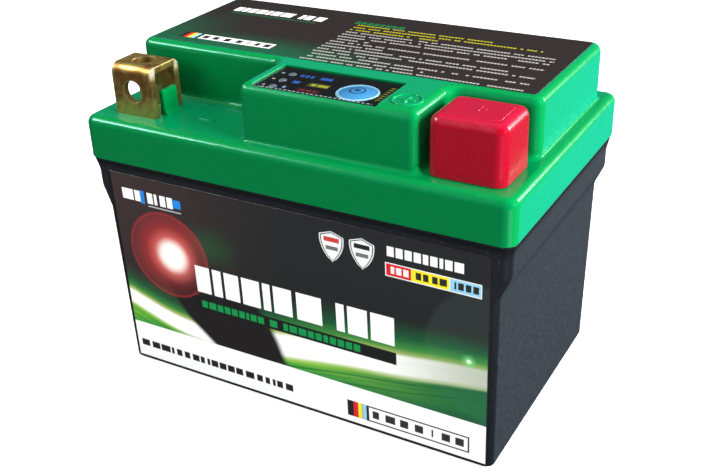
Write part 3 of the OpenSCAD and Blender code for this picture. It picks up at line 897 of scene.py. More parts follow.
# ------------------------------------------------------------------ outer materials
def lid_green():
    """Glossy moulding with faint orange peel, a painted teal sheen at grazing angles and painted
    shade on faces that look to the front.
    """
    mat = Shader("lid_green")
    green = rgb(0, 127, 62)
    peel = mat.noise(420, detail=2, roughness=0.5)
    fine = mat.noise(3000, detail=2, roughness=0.6)
    scuff = mat.noise(500, detail=6, roughness=0.75, vector=mat.stretch(0.3, 1, 1))
    mat.colour = mat.mix(mat.noise(22, detail=3), shade(green, 0.95), shade(green, 1.05))
    # painted sheen: the colour turns teal at grazing angles, where the side faces catch the
    # light from the right
    mat.paint(mat.smooth(mat.facing(), 0.55, 0.8), rgb(2, 148, 116), amount=0.9)
    # painted shade: darker on faces that look to the front
    mat.paint(mat.smooth(mat.normal()[1], -0.45, -0.95), rgb(0, 106, 54), amount=0.75)
    mat.paint(mat.edge(radius=0.0006, gain=5.0), rgb(20, 190, 120), amount=0.3)
    mat.finish(mat.plus(mat.remap(scuff, 0.19, 0.32, 0.35, 0.75), mat.remap(fine, 0.0, 0.02)),
               Specular_IOR_Level=0.34, Specular_Tint=(0.3, 1.0, 0.85, 1.0),
               Coat_Weight=0.08, Coat_Roughness=0.08)
    mat.bump(mat.plus(peel, mat.times(fine, 0.25)), strength=0.06)
    return mat.material


def case_grain():
    """Dark blue-grey with a fine moulded grain, rub marks, a painted sheen at grazing angles and
    painted shade on the corners and under the flange.
    """
    mat = Shader("case_grain")
    grey = rgb(24, 30, 37)
    grain = mat.noise(2200, detail=3, roughness=0.65)
    coarse = mat.noise(900, detail=4, roughness=0.7)
    scuff = mat.noise(160, detail=6, roughness=0.75, vector=mat.stretch(1, 0.35, 1))
    mat.colour = mat.mix(mat.noise(28, detail=4), shade(grey, 0.88), shade(grey, 1.12))
    # painted sheen: lighter blue-grey at grazing angles, where the side faces catch the light
    mat.paint(mat.smooth(mat.facing(), 0.5, 0.8), rgb(38, 44, 50), amount=0.8)
    mat.paint(mat.smooth(coarse, 0.46, 0.34), rgb(18, 22, 27), amount=0.5)
    mat.paint(mat.smooth(coarse, 0.54, 0.68), rgb(58, 66, 74), amount=0.3)
    mat.paint(mat.smooth(scuff, 0.66, 0.8), rgb(84, 92, 100), amount=0.25)
    mat.paint(mat.edge(radius=0.0006, gain=6.0), rgb(96, 104, 110), amount=0.45)
    # painted shade: the rounded corners are drawn darker, where they catch no highlight
    normal = mat.normal()
    corner = mat.size(mat.times(normal[0], normal[1]))
    mat.paint(mat.smooth(corner, 0.08, 0.4), rgb(10, 12, 15), amount=0.7)
    # painted shade in the gap under the flange
    mat.paint(mat.between(mat.z, 58.4, 60.1, 0.9), rgb(8, 9, 11), amount=0.8)
    mat.finish(mat.plus(mat.remap(coarse, 0.42, 0.56), mat.remap(scuff, -0.06, 0.06)),
               Specular_IOR_Level=0.5)
    mat.bump(mat.plus(mat.times(grain, 0.6), mat.times(coarse, 0.8)),
             strength=0.7, distance=0.00014)
    return mat.material


def cap_red():
    mat = Shader("cap_red")
    red = rgb(148, 0, 28)
    scuff = mat.noise(330, detail=6, roughness=0.75)
    extra_roughness = 0.0
    mat.colour = mat.mix(mat.noise(60, detail=3), shade(red, 0.9), shade(red, 1.08))
    # painted light: lighter on faces that look up
    mat.paint(mat.smooth(mat.normal()[2], 0.5, 0.95), rgb(182, 22, 62), amount=0.5)
    mat.paint(mat.edge(radius=0.0007, gain=5.0), rgb(225, 60, 84), amount=0.2)
    mat.finish(mat.plus(mat.remap(scuff, 0.24, 0.42, 0.35, 0.75), extra_roughness),
               Specular_IOR_Level=0.5, Specular_Tint=(1.0, 0.55, 0.65, 1.0),
               Coat_Weight=0.15, Coat_Roughness=0.12)
    mat.bump(mat.noise(1800, detail=3, roughness=0.6), strength=0.05, distance=0.00006)
    return mat.material


def terminal_yellow():
    """Yellow passivated zinc."""
    mat = Shader("terminal_yellow")
    cloud = mat.noise(150, detail=6, roughness=0.68, distortion=0.8)
    brushed = mat.noise(1300, detail=4, roughness=0.7, vector=mat.stretch(0.12, 1, 1))
    spots = mat.noise(650, detail=5, roughness=0.7)
    mat.colour = mat.mix(mat.smooth(cloud, 0.4, 0.62), rgb(210, 188, 108), rgb(158, 112, 58))
    mat.paint(mat.smooth(spots, 0.56, 0.72), rgb(104, 76, 42), amount=0.55)
    mat.paint(mat.edge(radius=0.0006, gain=6.0), rgb(238, 226, 178), amount=0.8)
    # sheared corners of the bends show bare metal
    middle, reach = (NEGATIVE_X + POSITIVE_X) / 2, (POSITIVE_X - NEGATIVE_X) / 2
    from_strip = mat.size(mat.minus(mat.size(mat.minus(mat.x, middle)), reach))
    corners = mat.both(
        mat.above(mat.z, 80.6, 1.4), mat.above(from_strip, 5.55, 0.6),
        mat.above(mat.size(mat.plus(mat.y, -TERMINAL_Y)), 3.7, 0.8))
    bare = mat.times(corners, mat.smooth(mat.noise(420, detail=3), 0.28, 0.55))
    mat.paint(bare, rgb(206, 198, 168))
    mat.finish(mat.plus(mat.remap(brushed, 0.34, 0.52, 0.25, 0.75),
                        mat.remap(cloud, -0.06, 0.1)),
               Metallic=mat.scaled(bare, -0.45, 0.9))
    mat.bump(mat.plus(brushed, mat.times(spots, 0.8)), strength=0.3, distance=0.00005)
    return mat.material


def button_blue():
    """Blue with a pale rim and a darker dot and ring in the middle."""
    mat = Shader("button_blue")
    radius = mat.length(mat.minus(mat.x, BUTTON_X), mat.minus(mat.y, BUTTON_Y))
    mat.colour = mat.mix(mat.noise(150, detail=3), rgb(48, 118, 168), rgb(62, 132, 180))
    mat.paint(mat.smooth(radius, 4.0, 4.5), rgb(126, 168, 190))
    mark = mat.either(mat.below(radius, 0.75, 0.12), mat.between(radius, 1.5, 1.95, 0.12))
    mat.paint(mark, rgb(16, 40, 90), amount=0.85)
    mat.finish(mat.remap(mat.noise(500, detail=4, roughness=0.7), 0.16, 0.3),
               Coat_Weight=0.4, Coat_Roughness=0.05)
    mat.bump(mat.noise(1500, detail=2), strength=0.05, distance=0.00005)
    return mat.material


# ------------------------------------------------------------------ front film
# centre height / 40 and half height / 10 of the pale sweep, by x
SWEEP_CENTRE = [
    (-56, 0.50), (-52, 0.512), (-46, 0.47), (-40, 0.42), (-34, 0.385), (-28, 0.372),
    (-20, 0.385), (-10, 0.43), (0, 0.47), (15, 0.527), (30, 0.567), (42, 0.613), (52, 0.642),
    (56, 0.65)]
SWEEP_HALF = [
    (-56, 0.24), (-52, 0.24), (-40, 0.25), (-28, 0.27), (-10, 0.36), (0, 0.37), (15, 0.35),
    (30, 0.32), (56, 0.25)]
# (place in half heights from the centre, half width, strength) of the fine green lines
SWEEP_LINES = (
    (-1.6, 0.07, 0.65), (-1.95, 0.05, 0.4), (-2.4, 0.07, 0.6), (0.35, 0.02, 0.12),
    (0.1, 0.02, 0.12))
# left and right edge / -100 of the dark field, by z
FIELD_LEFT = [(10, 0.22), (12.35, 0.245), (15, 0.275), (18.5, 0.315), (23.5, 0.35),
              (28.5, 0.372), (34, 0.38)]
FIELD_RIGHT = [(10, 0.015), (12.35, 0.018), (15, 0.026), (20, 0.044), (24, 0.066),
               (28.5, 0.1), (34, 0.15)]
# half width / 4 of a shield, by z
SHIELD_HALF = [(44, 0.0), (46.1, 0.0), (47.2, 0.27), (48.6, 0.53), (50.4, 0.73), (52.0, 0.8),
               (53.3, 0.79), (56, 0.79)]
SHIELDS = ((13.05, rgb(206, 60, 52)), (20.85, rgb(40, 40, 42)))      # (centre x, band colour)
HEADLINE = [(-27.8, -23.4), (-22.4, -19.8), (-19.2, -14.6), (-13.9, -8.4), (-7.6, -5.3),
            (-4.7, 0.7), (1.8, 9.0), (12.8, 15.0), (15.8, 21.3), (22.2, 28.1)]
STRIP_LEFT = spans_from(-27.0, (2.0, 2.0, 1.6, 2.0, 1.8, 1.6, 0.8, 1.8, 1.6), 0.45)
STRIP_LEFT.append((-6.2, -4.2))
STRIP_RIGHT = spans_from(-2.6, (1.7, 2.0, 2.4, 1.6, 1.8, 1.6, 1.7, 1.8, 1.7, 1.6), 0.4)
FOOT_DASHES = spans_from(-49.8, (
    2.7, 2.7, 2.7, 0.7, 2.0, 2.0, 1.9, 1.3, 0.8,
    1.8, 1.9, 1.9, 2.1, 2.8, 1.9, 1.4, 0.7, 1.8, 1.9), 0.75)


def paint_sweep(mat):
    """Dark ground, then green light, a pale sweep and green below it."""
    x, z = mat.x, mat.z
    # ground: brownish at the upper left, charcoal at the right
    mat.colour = mat.mix(mat.smooth(x, 6.0, -52.0), rgb(38, 39, 40), rgb(62, 48, 48))
    mat.paint(mat.inverse(mat.smooth(z, 22.0, 56.0)), rgb(24, 34, 30), amount=0.35)
    # u is the height from the sweep's centre in half heights
    centre = mat.curve(x, 40.0, SWEEP_CENTRE)
    half = mat.curve(x, 10.0, SWEEP_HALF)
    u = mat.math("DIVIDE", mat.minus(z, centre), half)
    # green light above the sweep, weaker about x = -16, and its yellowish fringe
    away = mat.smooth(mat.size(mat.plus(x, 16.0)), 10.0, 50.0)
    mat.paint(mat.smooth(u, 4.3, 1.3), rgb(12, 104, 56), mat.plus(0.75, mat.times(away, 0.25)))
    mat.paint(mat.smooth(u, 2.6, 1.05), rgb(74, 152, 62), amount=0.85)
    mat.paint(mat.smooth(u, 1.6, 0.95), rgb(186, 196, 110),
              mat.scaled(mat.smooth(x, 6.0, 48.0), -0.45, 0.85))
    # pale band, dimmer towards the right
    pale = mat.mix(mat.smooth(x, 18.0, 54.0), rgb(254, 254, 250), rgb(186, 192, 174))
    mat.paint(mat.smooth(u, 1.12, 0.72), pale)
    # lower green with fine dark lines
    green = mat.mix(mat.smooth(x, -6.0, 50.0), rgb(112, 186, 58), rgb(22, 104, 58))
    foot_green = mat.mix(mat.smooth(x, -10.0, 50.0), rgb(60, 160, 56), rgb(30, 92, 58))
    green = mat.mix(mat.smooth(z, 15.5, 12.4), green, foot_green)
    mat.paint(mat.smooth(u, -0.7, -1.12), mat.mix(0.5, green, rgb(190, 214, 96)),
              mat.scaled(mat.smooth(x, 10.0, 50.0), -0.4, 1.0))
    mat.paint(mat.smooth(u, -1.05, -1.4), green)
    for place, half_width, strength in SWEEP_LINES:
        mat.paint(mat.between(u, place - half_width, place + half_width, 0.06),
                  rgb(20, 92, 48), strength)


def paint_lights(mat):
    """Dark field under the headline, faint lights, the red disc and the sparkle."""
    x, z = mat.x, mat.z
    left = mat.curve(z, -100.0, FIELD_LEFT)
    right = mat.curve(z, -100.0, FIELD_RIGHT)
    mat.paint(mat.both(mat.smooth(mat.minus(x, left), -0.9, 1.5),
                       mat.smooth(mat.minus(right, x), -0.9, 1.5),
                       mat.smooth(z, 31.0, 26.5)), rgb(33, 30, 31))
    # faint green ellipse above the headline, faint pale arc at the right
    ellipse = mat.length(mat.math("DIVIDE", mat.plus(x, 22.5), 11.0),
                         mat.math("DIVIDE", mat.minus(z, 41.5), 7.5))
    mat.paint(mat.smooth(ellipse, 1.0, 0.0), rgb(24, 104, 54), amount=0.35)
    arc = mat.length(mat.minus(x, 55.0), mat.minus(z, 31.0))
    mat.paint(mat.smooth(arc, 19.4, 18.2), rgb(150, 190, 176), amount=0.03)
    # red disc, a little left of the white glow inside it
    glow_x, glow_z = mat.plus(x, 34.3), mat.minus(z, 36.1)
    glow = mat.length(glow_x, glow_z)
    disc = mat.length(mat.plus(x, 35.4), mat.minus(z, 36.1))
    fade = mat.remap(mat.minus(glow_x, glow_z), 1.0, 0.3, -2.0, 14.0)
    mat.paint(mat.both(mat.below(disc, 12.2, 0.7), mat.smooth(glow, 16.5, 4.0), fade,
                       mat.remap(mat.noise(90, detail=3), 0.74, 0.98)), rgb(174, 44, 48))
    mat.paint(mat.between(disc, 11.5, 12.1, 0.5), rgb(176, 40, 46), amount=0.5)
    mat.paint(mat.smooth(glow, 8.8, 2.6), rgb(232, 118, 108), amount=0.95)
    mat.paint(mat.smooth(glow, 5.8, 2.6), rgb(255, 253, 246))
    # sparkle at the right
    spark = mat.length(mat.minus(x, 46.9), mat.minus(z, 29.1))
    mat.paint(mat.smooth(spark, 2.2, 0.2), rgb(120, 220, 130), amount=0.8)
    mat.paint(mat.smooth(spark, 0.75, 0.3), rgb(225, 255, 225))


def paint_shield(mat, centre_x, tone):
    x, z = mat.x, mat.z
    across = mat.size(mat.minus(x, centre_x))
    half = mat.curve(z, 4.0, SHIELD_HALF)
    top = mat.scaled(across, -0.34, 54.3)
    tip = mat.above(z, 46.25)

    def within(side_inset, top_inset, soft):
        return mat.both(tip, mat.above(mat.minus(half, across), side_inset, soft),
                        mat.above(mat.minus(top, z), top_inset, soft))

    mat.paint(within(0.0, 0.0, 0.12), rgb(232, 232, 232))
    core = within(0.55, 0.5, 0.12)
    mat.paint(within(0.3, 0.25, 0.1), rgb(48, 48, 50))
    mat.paint(core, rgb(240, 240, 240))
    mat.paint(mat.both(core, mat.between(z, 51.5, 52.7), mat.below(across, 2.0)), tone)
    mat.paint(mat.both(core, mat.between(z, 49.4, 50.4), mat.below(across, 1.6)),
              rgb(52, 52, 54), amount=0.85)


def paint_colour_fields(mat):
    """Pale blocks over three colour fields, upper right."""
    mat.paint(mat.blocks(51.4, 53.9, [
        (26.9, 28.7), (29.3, 31.0), (31.4, 33.1), (33.5, 35.1), (35.5, 37.0), (37.4, 39.2),
        (39.7, 40.5), (41.0, 42.7), (43.3, 45.1)], 0.1), rgb(246, 246, 246))
    mat.paint_boxes([
        (26.6, 49.7, 46.2, 49.75, (235, 240, 240)),
        (26.85, 33.0, 46.45, 49.5, (214, 24, 34)),
        (33.0, 42.1, 46.45, 49.5, (246, 226, 24)),
        (42.3, 49.5, 46.45, 49.5, (146, 204, 236))])
    mat.paint(mat.blocks(47.1, 48.9, [(28.0, 28.7), (29.2, 30.6), (31.0, 32.3)], 0.1),
              rgb(250, 232, 230))
    mat.paint(mat.blocks(47.1, 48.9, [
        (33.7, 35.1), (35.5, 36.9), (37.2, 37.6), (38.0, 39.2), (39.5, 41.5), (42.9, 43.6),
        (44.1, 45.4), (45.8, 47.0), (47.3, 48.7)], 0.1), rgb(44, 46, 40))


def paint_foot(mat):
    """Dark dashes and a striped box on the white foot band."""
    first, second = FOOT_DASHES[:9], FOOT_DASHES[9:]
    dashes = mat.either(mat.marks(mat.x, first), mat.marks(mat.x, second))
    mat.paint(mat.both(dashes, mat.between(mat.z, 4.7, 6.7, 0.12)), rgb(36, 34, 38))
    mat.paint_boxes([
        (14.9, 47.3, 3.1, 7.8, (40, 34, 36)), (20.9, 46.9, 3.5, 7.4, (253, 253, 252)),
        (16.6, 17.8, 3.1, 7.8, (214, 30, 34)), (17.9, 19.0, 3.1, 7.8, (248, 226, 40)),
        (19.1, 20.2, 3.1, 7.8, (150, 206, 236))])
    mat.paint(mat.blocks(4.4, 6.6, [
        (21.6, 23.3), (25.3, 27.6), (29.2, 31.3), (33.2, 35.4), (37.3, 37.9), (39.9, 42.1),
        (43.6, 45.7)]), rgb(50, 48, 52))


def front_film_print():
    mat = Print("front_film_print", "z")
    paint_sweep(mat)
    paint_lights(mat)
    mat.paint(mat.below(mat.z, 12.35, 0.08), rgb(253, 253, 252))      # white foot band
    mat.paint(mat.blocks(27.6, 35.3, HEADLINE), rgb(253, 253, 253))
    # dark strip with a row of small green blocks
    mat.paint(mat.box(-29.6, 28.8, 22.4, 25.8), rgb(26, 30, 30))
    mat.paint(mat.either(mat.blocks(23.1, 25.1, STRIP_LEFT),
                         mat.blocks(23.1, 25.1, STRIP_RIGHT)), rgb(8, 146, 72))
    # plain marks at the upper left
    mat.paint(mat.blocks(50.0, 53.0, [
        (-47.7, -44.6), (-44.0, -42.4), (-40.0, -38.4), (-37.8, -36.9), (-36.3, -34.4),
        (-33.9, -32.2)], 0.1), rgb(250, 250, 250))
    mat.paint_boxes([(-42.0, -40.7, 49.6, 53.2, (30, 130, 220)),
                     (-31.8, -29.5, 50.4, 52.7, (20, 136, 226))])
    mat.paint(mat.box(-39.7, -29.6, 49.1, 49.45), rgb(210, 210, 210), amount=0.7)
    for centre_x, tone in SHIELDS:
        paint_shield(mat, centre_x, tone)
    paint_colour_fields(mat)
    paint_foot(mat)
    # thin dark margin along the film's edge, heavier at the foot and the left
    inside = mat.both(mat.between(mat.x, -51.35, 51.35, 0.08),
                      mat.between(mat.z, 0.85, 56.7, 0.08))
    mat.paint(mat.inverse(inside), rgb(40, 28, 31))
    mat.paint(mat.below(mat.z, 1.35), rgb(18, 18, 20))
    mat.paint(mat.below(mat.x, -50.75), rgb(18, 20, 23))
    return mat.finish_film(0.3, 0.42)


# ------------------------------------------------------------------ top film
ROW_PITCH, FIRST_ROW_Y = 2.03, 17.65
LETTER_PITCH = 0.85
# x where each row of the printed paragraph ends, from the back to the front
ROW_ENDS = [29.5, 43.0, 17.0, 47.6, 47.9, 47.8, 2.0, 47.7, 8.0, 40.8, 47.8, 10.0, 48.0, 24.0,
            48.2]


def paint_paragraph(mat):
    """Rows of dashes; the three rows at the back are yellow."""
    x, count = mat.x, len(ROW_ENDS)
    place = mat.scaled(mat.y, -1.0 / ROW_PITCH, (FIRST_ROW_Y + 1.0) / ROW_PITCH)
    row = mat.math("FLOOR", place)
    in_row = mat.minus(place, row)
    # the ramp holds the row ends, with -60..60 mm stored as 0..1
    ramp = mat.new("ShaderNodeValToRGB")
    ramp.color_ramp.interpolation = "CONSTANT"
    mat.put(ramp.inputs[0], mat.scaled(row, 1.0 / count, 0.5 / count, clamp=True))
    elements = ramp.color_ramp.elements
    for i, end in enumerate(ROW_ENDS):
        element = elements[i] if i < 2 else elements.new(i / count)
        element.position = i / count
        level = (end + 60.0) / 120.0
        element.color = (level, level, level, 1)
    row_end = mat.scaled(ramp.outputs[0], 120.0, -60.0)
    inside = mat.both(mat.between(in_row, 0.33, 0.66, 0.12), mat.above(x, -7.8),
                      mat.above(mat.minus(row_end, x), 0.0),
                      mat.between(place, 0.0, 15.0, 0.05))
    # letters with gaps between them; some are left out at random
    cell = mat.new("ShaderNodeCombineXYZ")
    mat.put(cell.inputs[0], mat.math("FLOOR", mat.times(x, 1.0 / LETTER_PITCH)))
    mat.put(cell.inputs[1], row)
    chance = mat.new("ShaderNodeTexWhiteNoise")
    chance.noise_dimensions = "2D"
    mat.put(chance.inputs["Vector"], cell.outputs[0])
    letter = mat.math("GREATER_THAN", chance.outputs["Value"], 0.16)
    in_cell = mat.math("FRACT", mat.times(x, 1.0 / LETTER_PITCH))
    tone = mat.mix(mat.above(row, 2.5), rgb(206, 196, 24), rgb(196, 192, 188))
    mat.paint(mat.both(inside, letter, mat.math("LESS_THAN", in_cell, 0.8)), tone, amount=0.72)


def top_film_print():
    mat = Print("top_film_print", "y")
    x, y = mat.x, mat.y
    # dark ground, green towards the front left
    mat.colour = mat.mix(mat.noise(20, detail=2), rgb(36, 31, 30), rgb(40, 35, 33))
    front = mat.times(mat.smooth(y, 3.0, -12.0), mat.smooth(x, 22.0, -22.0))
    left = mat.times(mat.smooth(y, 18.0, -12.0), mat.smooth(x, -30.0, -56.0))
    mat.paint(mat.either(front, left), rgb(16, 86, 58))
    # headline blocks; the slant shifts them along x with y, and 0 keeps them upright
    slant = 0.0
    slanted_x = mat.scaled(mat.minus(y, 16.3), slant, x)
    mat.paint(mat.blocks(16.5, 20.1, [
        (-46.2, -44.0), (-43.5, -42.2), (-41.8, -39.6), (-39.1, -36.6), (-36.0, -34.8),
        (-34.3, -31.7), (-31.1, -27.8), (-25.6, -24.4), (-23.9, -21.5), (-20.9, -18.2)],
        along=slanted_x), rgb(236, 236, 234))
    mat.paint(mat.box(-45.5, -18.6, 14.5, 15.3), rgb(20, 96, 58), amount=0.7)
    # striped box
    mat.paint_boxes([
        (-45.2, -17.7, -8.5, -4.4, (30, 26, 28)), (-39.6, -18.0, -8.2, -4.7, (240, 240, 238)),
        (-44.0, -42.9, -8.4, -4.5, (206, 40, 34)), (-42.8, -41.7, -8.4, -4.5, (240, 216, 50)),
        (-41.6, -40.6, -8.4, -4.5, (150, 206, 230))])
    mat.paint(mat.blocks(-7.5, -5.4, [
        (-39.0, -37.6), (-36.0, -34.2), (-32.6, -30.9), (-29.2, -27.4), (-25.7, -25.2),
        (-23.6, -21.9), (-20.6, -18.9)]), rgb(44, 40, 42))
    paint_paragraph(mat)
    mat.paint(mat.blocks(18.5, 20.6, [
        (-9.6, -8.2), (-7.8, -6.4), (-6.0, -4.6), (-4.2, -2.8), (-2.4, -1.0), (-0.6, 0.8),
        (1.2, 2.6), (3.0, 4.4)]), rgb(14, 110, 62), amount=0.9)
    return mat.finish_film(0.34, 0.46)


# ------------------------------------------------------------------ panel film
# dot beside each lamp, from the back to the front
LAMP_DOTS = ((LAMP_Y + LAMP_PITCH, rgb(120, 140, 160)), (LAMP_Y, rgb(150, 130, 120)),
             (LAMP_Y - LAMP_PITCH, rgb(120, 130, 120)))
# (low, high, spans, colour) of the rows of blocks, (left, right, low, high, colour) of boxes
PANEL_BLUE = (
    (-21.2, -19.7, [(-1.4, -0.5), (-0.2, 0.7), (1.0, 1.9), (3.6, 4.5), (4.8, 5.7), (6.0, 6.9)],
     rgb(34, 76, 146)),
    (-25.4, -23.9, [(-1.1, -0.3), (0.0, 0.8)], rgb(38, 82, 156)))
PANEL_BOXED = (
    ((3.2, 8.6, -25.9, -23.6, (58, 62, 22)),
     (-25.4, -24.1, [(3.9, 5.1), (5.5, 6.6), (7.0, 8.1)], rgb(140, 142, 40))),
    ((2.2, 8.4, -29.5, -27.3, (44, 16, 20)),
     (-28.9, -27.9, [(2.8, 4.0), (4.5, 5.7), (6.2, 7.4)], rgb(96, 28, 28))))


def panel_film_print():
    mat = Print("panel_film_print", "y")
    x, y = mat.x, mat.y
    mat.colour = mat.mix(mat.noise(80, detail=2), rgb(5, 8, 12), rgb(9, 12, 17))
    for dot_y, colour in LAMP_DOTS:
        radius = mat.length(mat.plus(x, 6.0), mat.minus(y, dot_y))
        mat.paint(mat.below(radius, 0.42, 0.12), colour)
    for low, high, spans, colour in PANEL_BLUE:
        mat.paint(mat.blocks(low, high, spans, 0.1), colour)
    for box, (low, high, spans, colour) in PANEL_BOXED:
        mat.paint_boxes([box])
        mat.paint(mat.blocks(low, high, spans, 0.1), colour)
    mat.paint_boxes([(-1.2, -0.5, -28.9, -27.8, (120, 140, 176))])
    # column of yellow dashes at the right, row of pale dashes along the front edge
    dash = mat.math("FRACT", mat.times(y, 1.0 / 1.25))
    mat.paint(mat.both(mat.between(x, 21.3, 22.5), mat.between(y, -28.2, -18.8),
                       mat.math("LESS_THAN", dash, 0.5)), rgb(96, 96, 30))
    dash = mat.math("FRACT", mat.times(x, 1.0 / 1.15))
    mat.paint(mat.both(mat.between(y, -30.2, -29.75, 0.08), mat.math("LESS_THAN", dash, 0.6),
                       mat.between(x, -6.5, 22.0)), rgb(128, 150, 148))
    return mat.finish_film(0.2, 0.32)


# ------------------------------------------------------------------ inner materials
def board_green():
    """Circuit board with a brick pattern for tracks and pale spots."""
    mat = Shader("board_green")
    tracks = mat.new("ShaderNodeTexBrick")
    mat.put(tracks.inputs["Vector"], mat.stretch(260, 260, 260))
    tracks.inputs["Mortar Size"].default_value = 0.06
    tracks.inputs["Scale"].default_value = 1.0
    fine = mat.noise(1400, detail=3)
    mat.colour = mat.mix(tracks.outputs["Fac"], rgb(12, 92, 46), rgb(28, 122, 62))
    mat.paint(mat.smooth(mat.noise(300, detail=3), 0.62, 0.66), rgb(205, 190, 140), amount=0.8)
    mat.finish(mat.remap(fine, 0.22, 0.4), Coat_Weight=0.3)
    mat.bump(mat.plus(mat.times(tracks.outputs["Fac"], 0.6), mat.times(fine, 0.2)),
             strength=0.2, distance=0.00005, bevel=0.0002)
    return mat.material


def sleeve_blue():
    """Blue cell sleeve with a pale band round x = 0."""
    mat = Shader("sleeve_blue")
    mat.colour = mat.mix(mat.noise(60, detail=4), rgb(30, 96, 150), rgb(44, 116, 172))
    mat.paint(mat.between(mat.x, -2.0, 2.0, 0.3), rgb(214, 220, 224), amount=0.5)
    mat.finish(mat.remap(mat.noise(400, detail=5, roughness=0.7), 0.2, 0.36), Coat_Weight=0.25)
    mat.bump(mat.noise(220, detail=3, vector=mat.stretch(0.3, 1, 1)),
             strength=0.15, distance=0.00012, bevel=0.0004)
    return mat.material


def paper_fibre():
    mat = Shader("paper_fibre")
    fibre = mat.noise(900, detail=6, roughness=0.75, vector=mat.stretch(1, 0.25, 1))
    mat.colour = mat.mix(fibre, rgb(196, 184, 146), rgb(226, 216, 184))
    mat.finish(mat.remap(fibre, 0.75, 0.92))
    mat.bump(fibre, strength=0.4, distance=0.00006)
    return mat.material


def foam_cells():
    mat = Shader("foam_cells")
    cells = mat.new("ShaderNodeTexVoronoi")
    mat.put(cells.inputs["Vector"], mat.place)
    cells.inputs["Scale"].default_value = 1600
    mat.colour = mat.mix(cells.outputs["Distance"], rgb(40, 40, 44), rgb(74, 74, 78))
    mat.finish(mat.remap(mat.noise(600, detail=3), 0.85, 0.98))
    mat.bump(cells.outputs["Distance"], strength=0.7, distance=0.0002, bevel=0.0005)
    return mat.material


# plastic(): name, colour, roughness, grain strength, grain scale
MATERIALS = {
    "lid": lid_green(),
    "case": case_grain(),
    "cap": cap_red(),
    "terminal": terminal_yellow(),
    "button": button_blue(),
    "lamps": plastic("lamp_lens_grey", rgb(84, 98, 110), 0.18, 0.04, 1500, vary=0.1, coat=0.5,
                     Transmission_Weight=0.25, IOR=1.5),
    "front_label": front_film_print(),
    "top_label": top_film_print(),
    "panel": panel_film_print(),
    "seal": plastic("sealant_black", rgb(30, 30, 30), 0.55, 0.3, 900, bevel=0.0001),
    "board": board_green(),
    "black_part": plastic("component_black", rgb(26, 26, 28), 0.45, 0.25, 2600, bevel=0.0002),
    "plunger": plastic("plunger_cream", rgb(205, 196, 174), 0.4, 0.12, 2000, bevel=0.0002),
    "steel": metal("screw_zinc", rgb(186, 188, 192), 0.28),
    "grey_wire": plastic("ribbon_grey", rgb(138, 140, 146), 0.5, 0.15, 1800, bevel=0.0001),
    "rivet": metal("rivet_brass", rgb(214, 172, 88), 0.24),
    "copper": metal("bar_copper", rgb(200, 118, 78), 0.3, tint=rgb(150, 78, 52)),
    "cell": sleeve_blue(),
    "holder": plastic("holder_black", rgb(34, 34, 37), 0.5, 0.35, 1500, bevel=0.0004),
    "nickel": metal("strip_nickel", rgb(196, 193, 182), 0.26, tint=rgb(168, 164, 150)),
    "paper": paper_fibre(),
    "alu": metal("spreader_alu", rgb(196, 199, 204), 0.34),
    "cream": plastic("connector_cream", rgb(228, 222, 200), 0.4, 0.12, 2000, bevel=0.0002),
    "red_wire": plastic("wire_red", rgb(176, 24, 24), 0.35, 0.1, 1500),
    "foam": foam_cells(),
}


# ------------------------------------------------------------------ assemble
def give(body, material):
    body.data.materials.clear()
    body.data.materials.append(material)


def place_piece(body, material, node, rides_on):
    give(body, MATERIALS[material])
    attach(body, rides_on)
    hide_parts(node)


def give_node(name, material):
    """Gives a kept CAD piece a material on the object."""
    node = NODES[name]
    if not node.material_slots:
        node.data.materials.append(material)
    for slot in node.material_slots:
        slot.link = "OBJECT"
        slot.material = material


place_piece(make_lid(), "lid", "lid", "battery")
place_piece(make_case(), "case", "case", "battery")
place_piece(make_terminal("terminal_left", NEGATIVE_X),
            "terminal", "negative_terminal", "battery")
place_piece(make_terminal("terminal_right", POSITIVE_X),
            "terminal", "positive_terminal", "battery")
place_piece(make_cap(), "cap", "positive_cap", "cap")
place_piece(make_button(), "button", "test_button", "button")
place_piece(make_lamps(), "lamps", "indicator_lamps", "battery")
place_piece(make_panel(), "panel", "test_panel", "battery")
place_piece(make_front_label(), "front_label", "front_label", "battery")
place_piece(make_top_label(), "top_label", "top_label", "battery")

# CAD pieces kept as they are, with their material
KEPT = {
    "lid_seal": "seal", "test_board": "board", "test_switch": "black_part",
    "switch_plunger": "plunger", "test_board_screws": "steel", "test_cable": "grey_wire",
    "terminal_rivets": "rivet", "negative_bus_bar": "copper", "positive_bus_bar": "copper",
    "cell_front_low": "cell", "cell_front_high": "cell", "cell_back_high": "cell",
    "cell_back_low": "cell", "cell_holder_left": "holder", "cell_holder_right": "holder",
    "link_front": "nickel", "link_bottom": "nickel", "link_back": "nickel",
    "pack_negative_tab": "nickel", "pack_positive_tab": "nickel", "insulation_sheet": "paper",
    "bms_board": "board", "bms_transistors": "black_part", "balance_resistors": "black_part",
    "heat_spreader": "alu", "balance_connector": "cream", "balance_wires": "red_wire",
    "bms_screws": "steel", "base_foam": "foam", "end_foam_left": "foam",
    "end_foam_right": "foam",
}
for node_name, material_key in KEPT.items():
    give_node(node_name, MATERIALS[material_key])


# ------------------------------------------------------------------ floor, in metres
FLOOR_HALF, FLOOR_Z = 1.6, -0.00005
OPENING_X, OPENING_Y = 0.051, 0.030


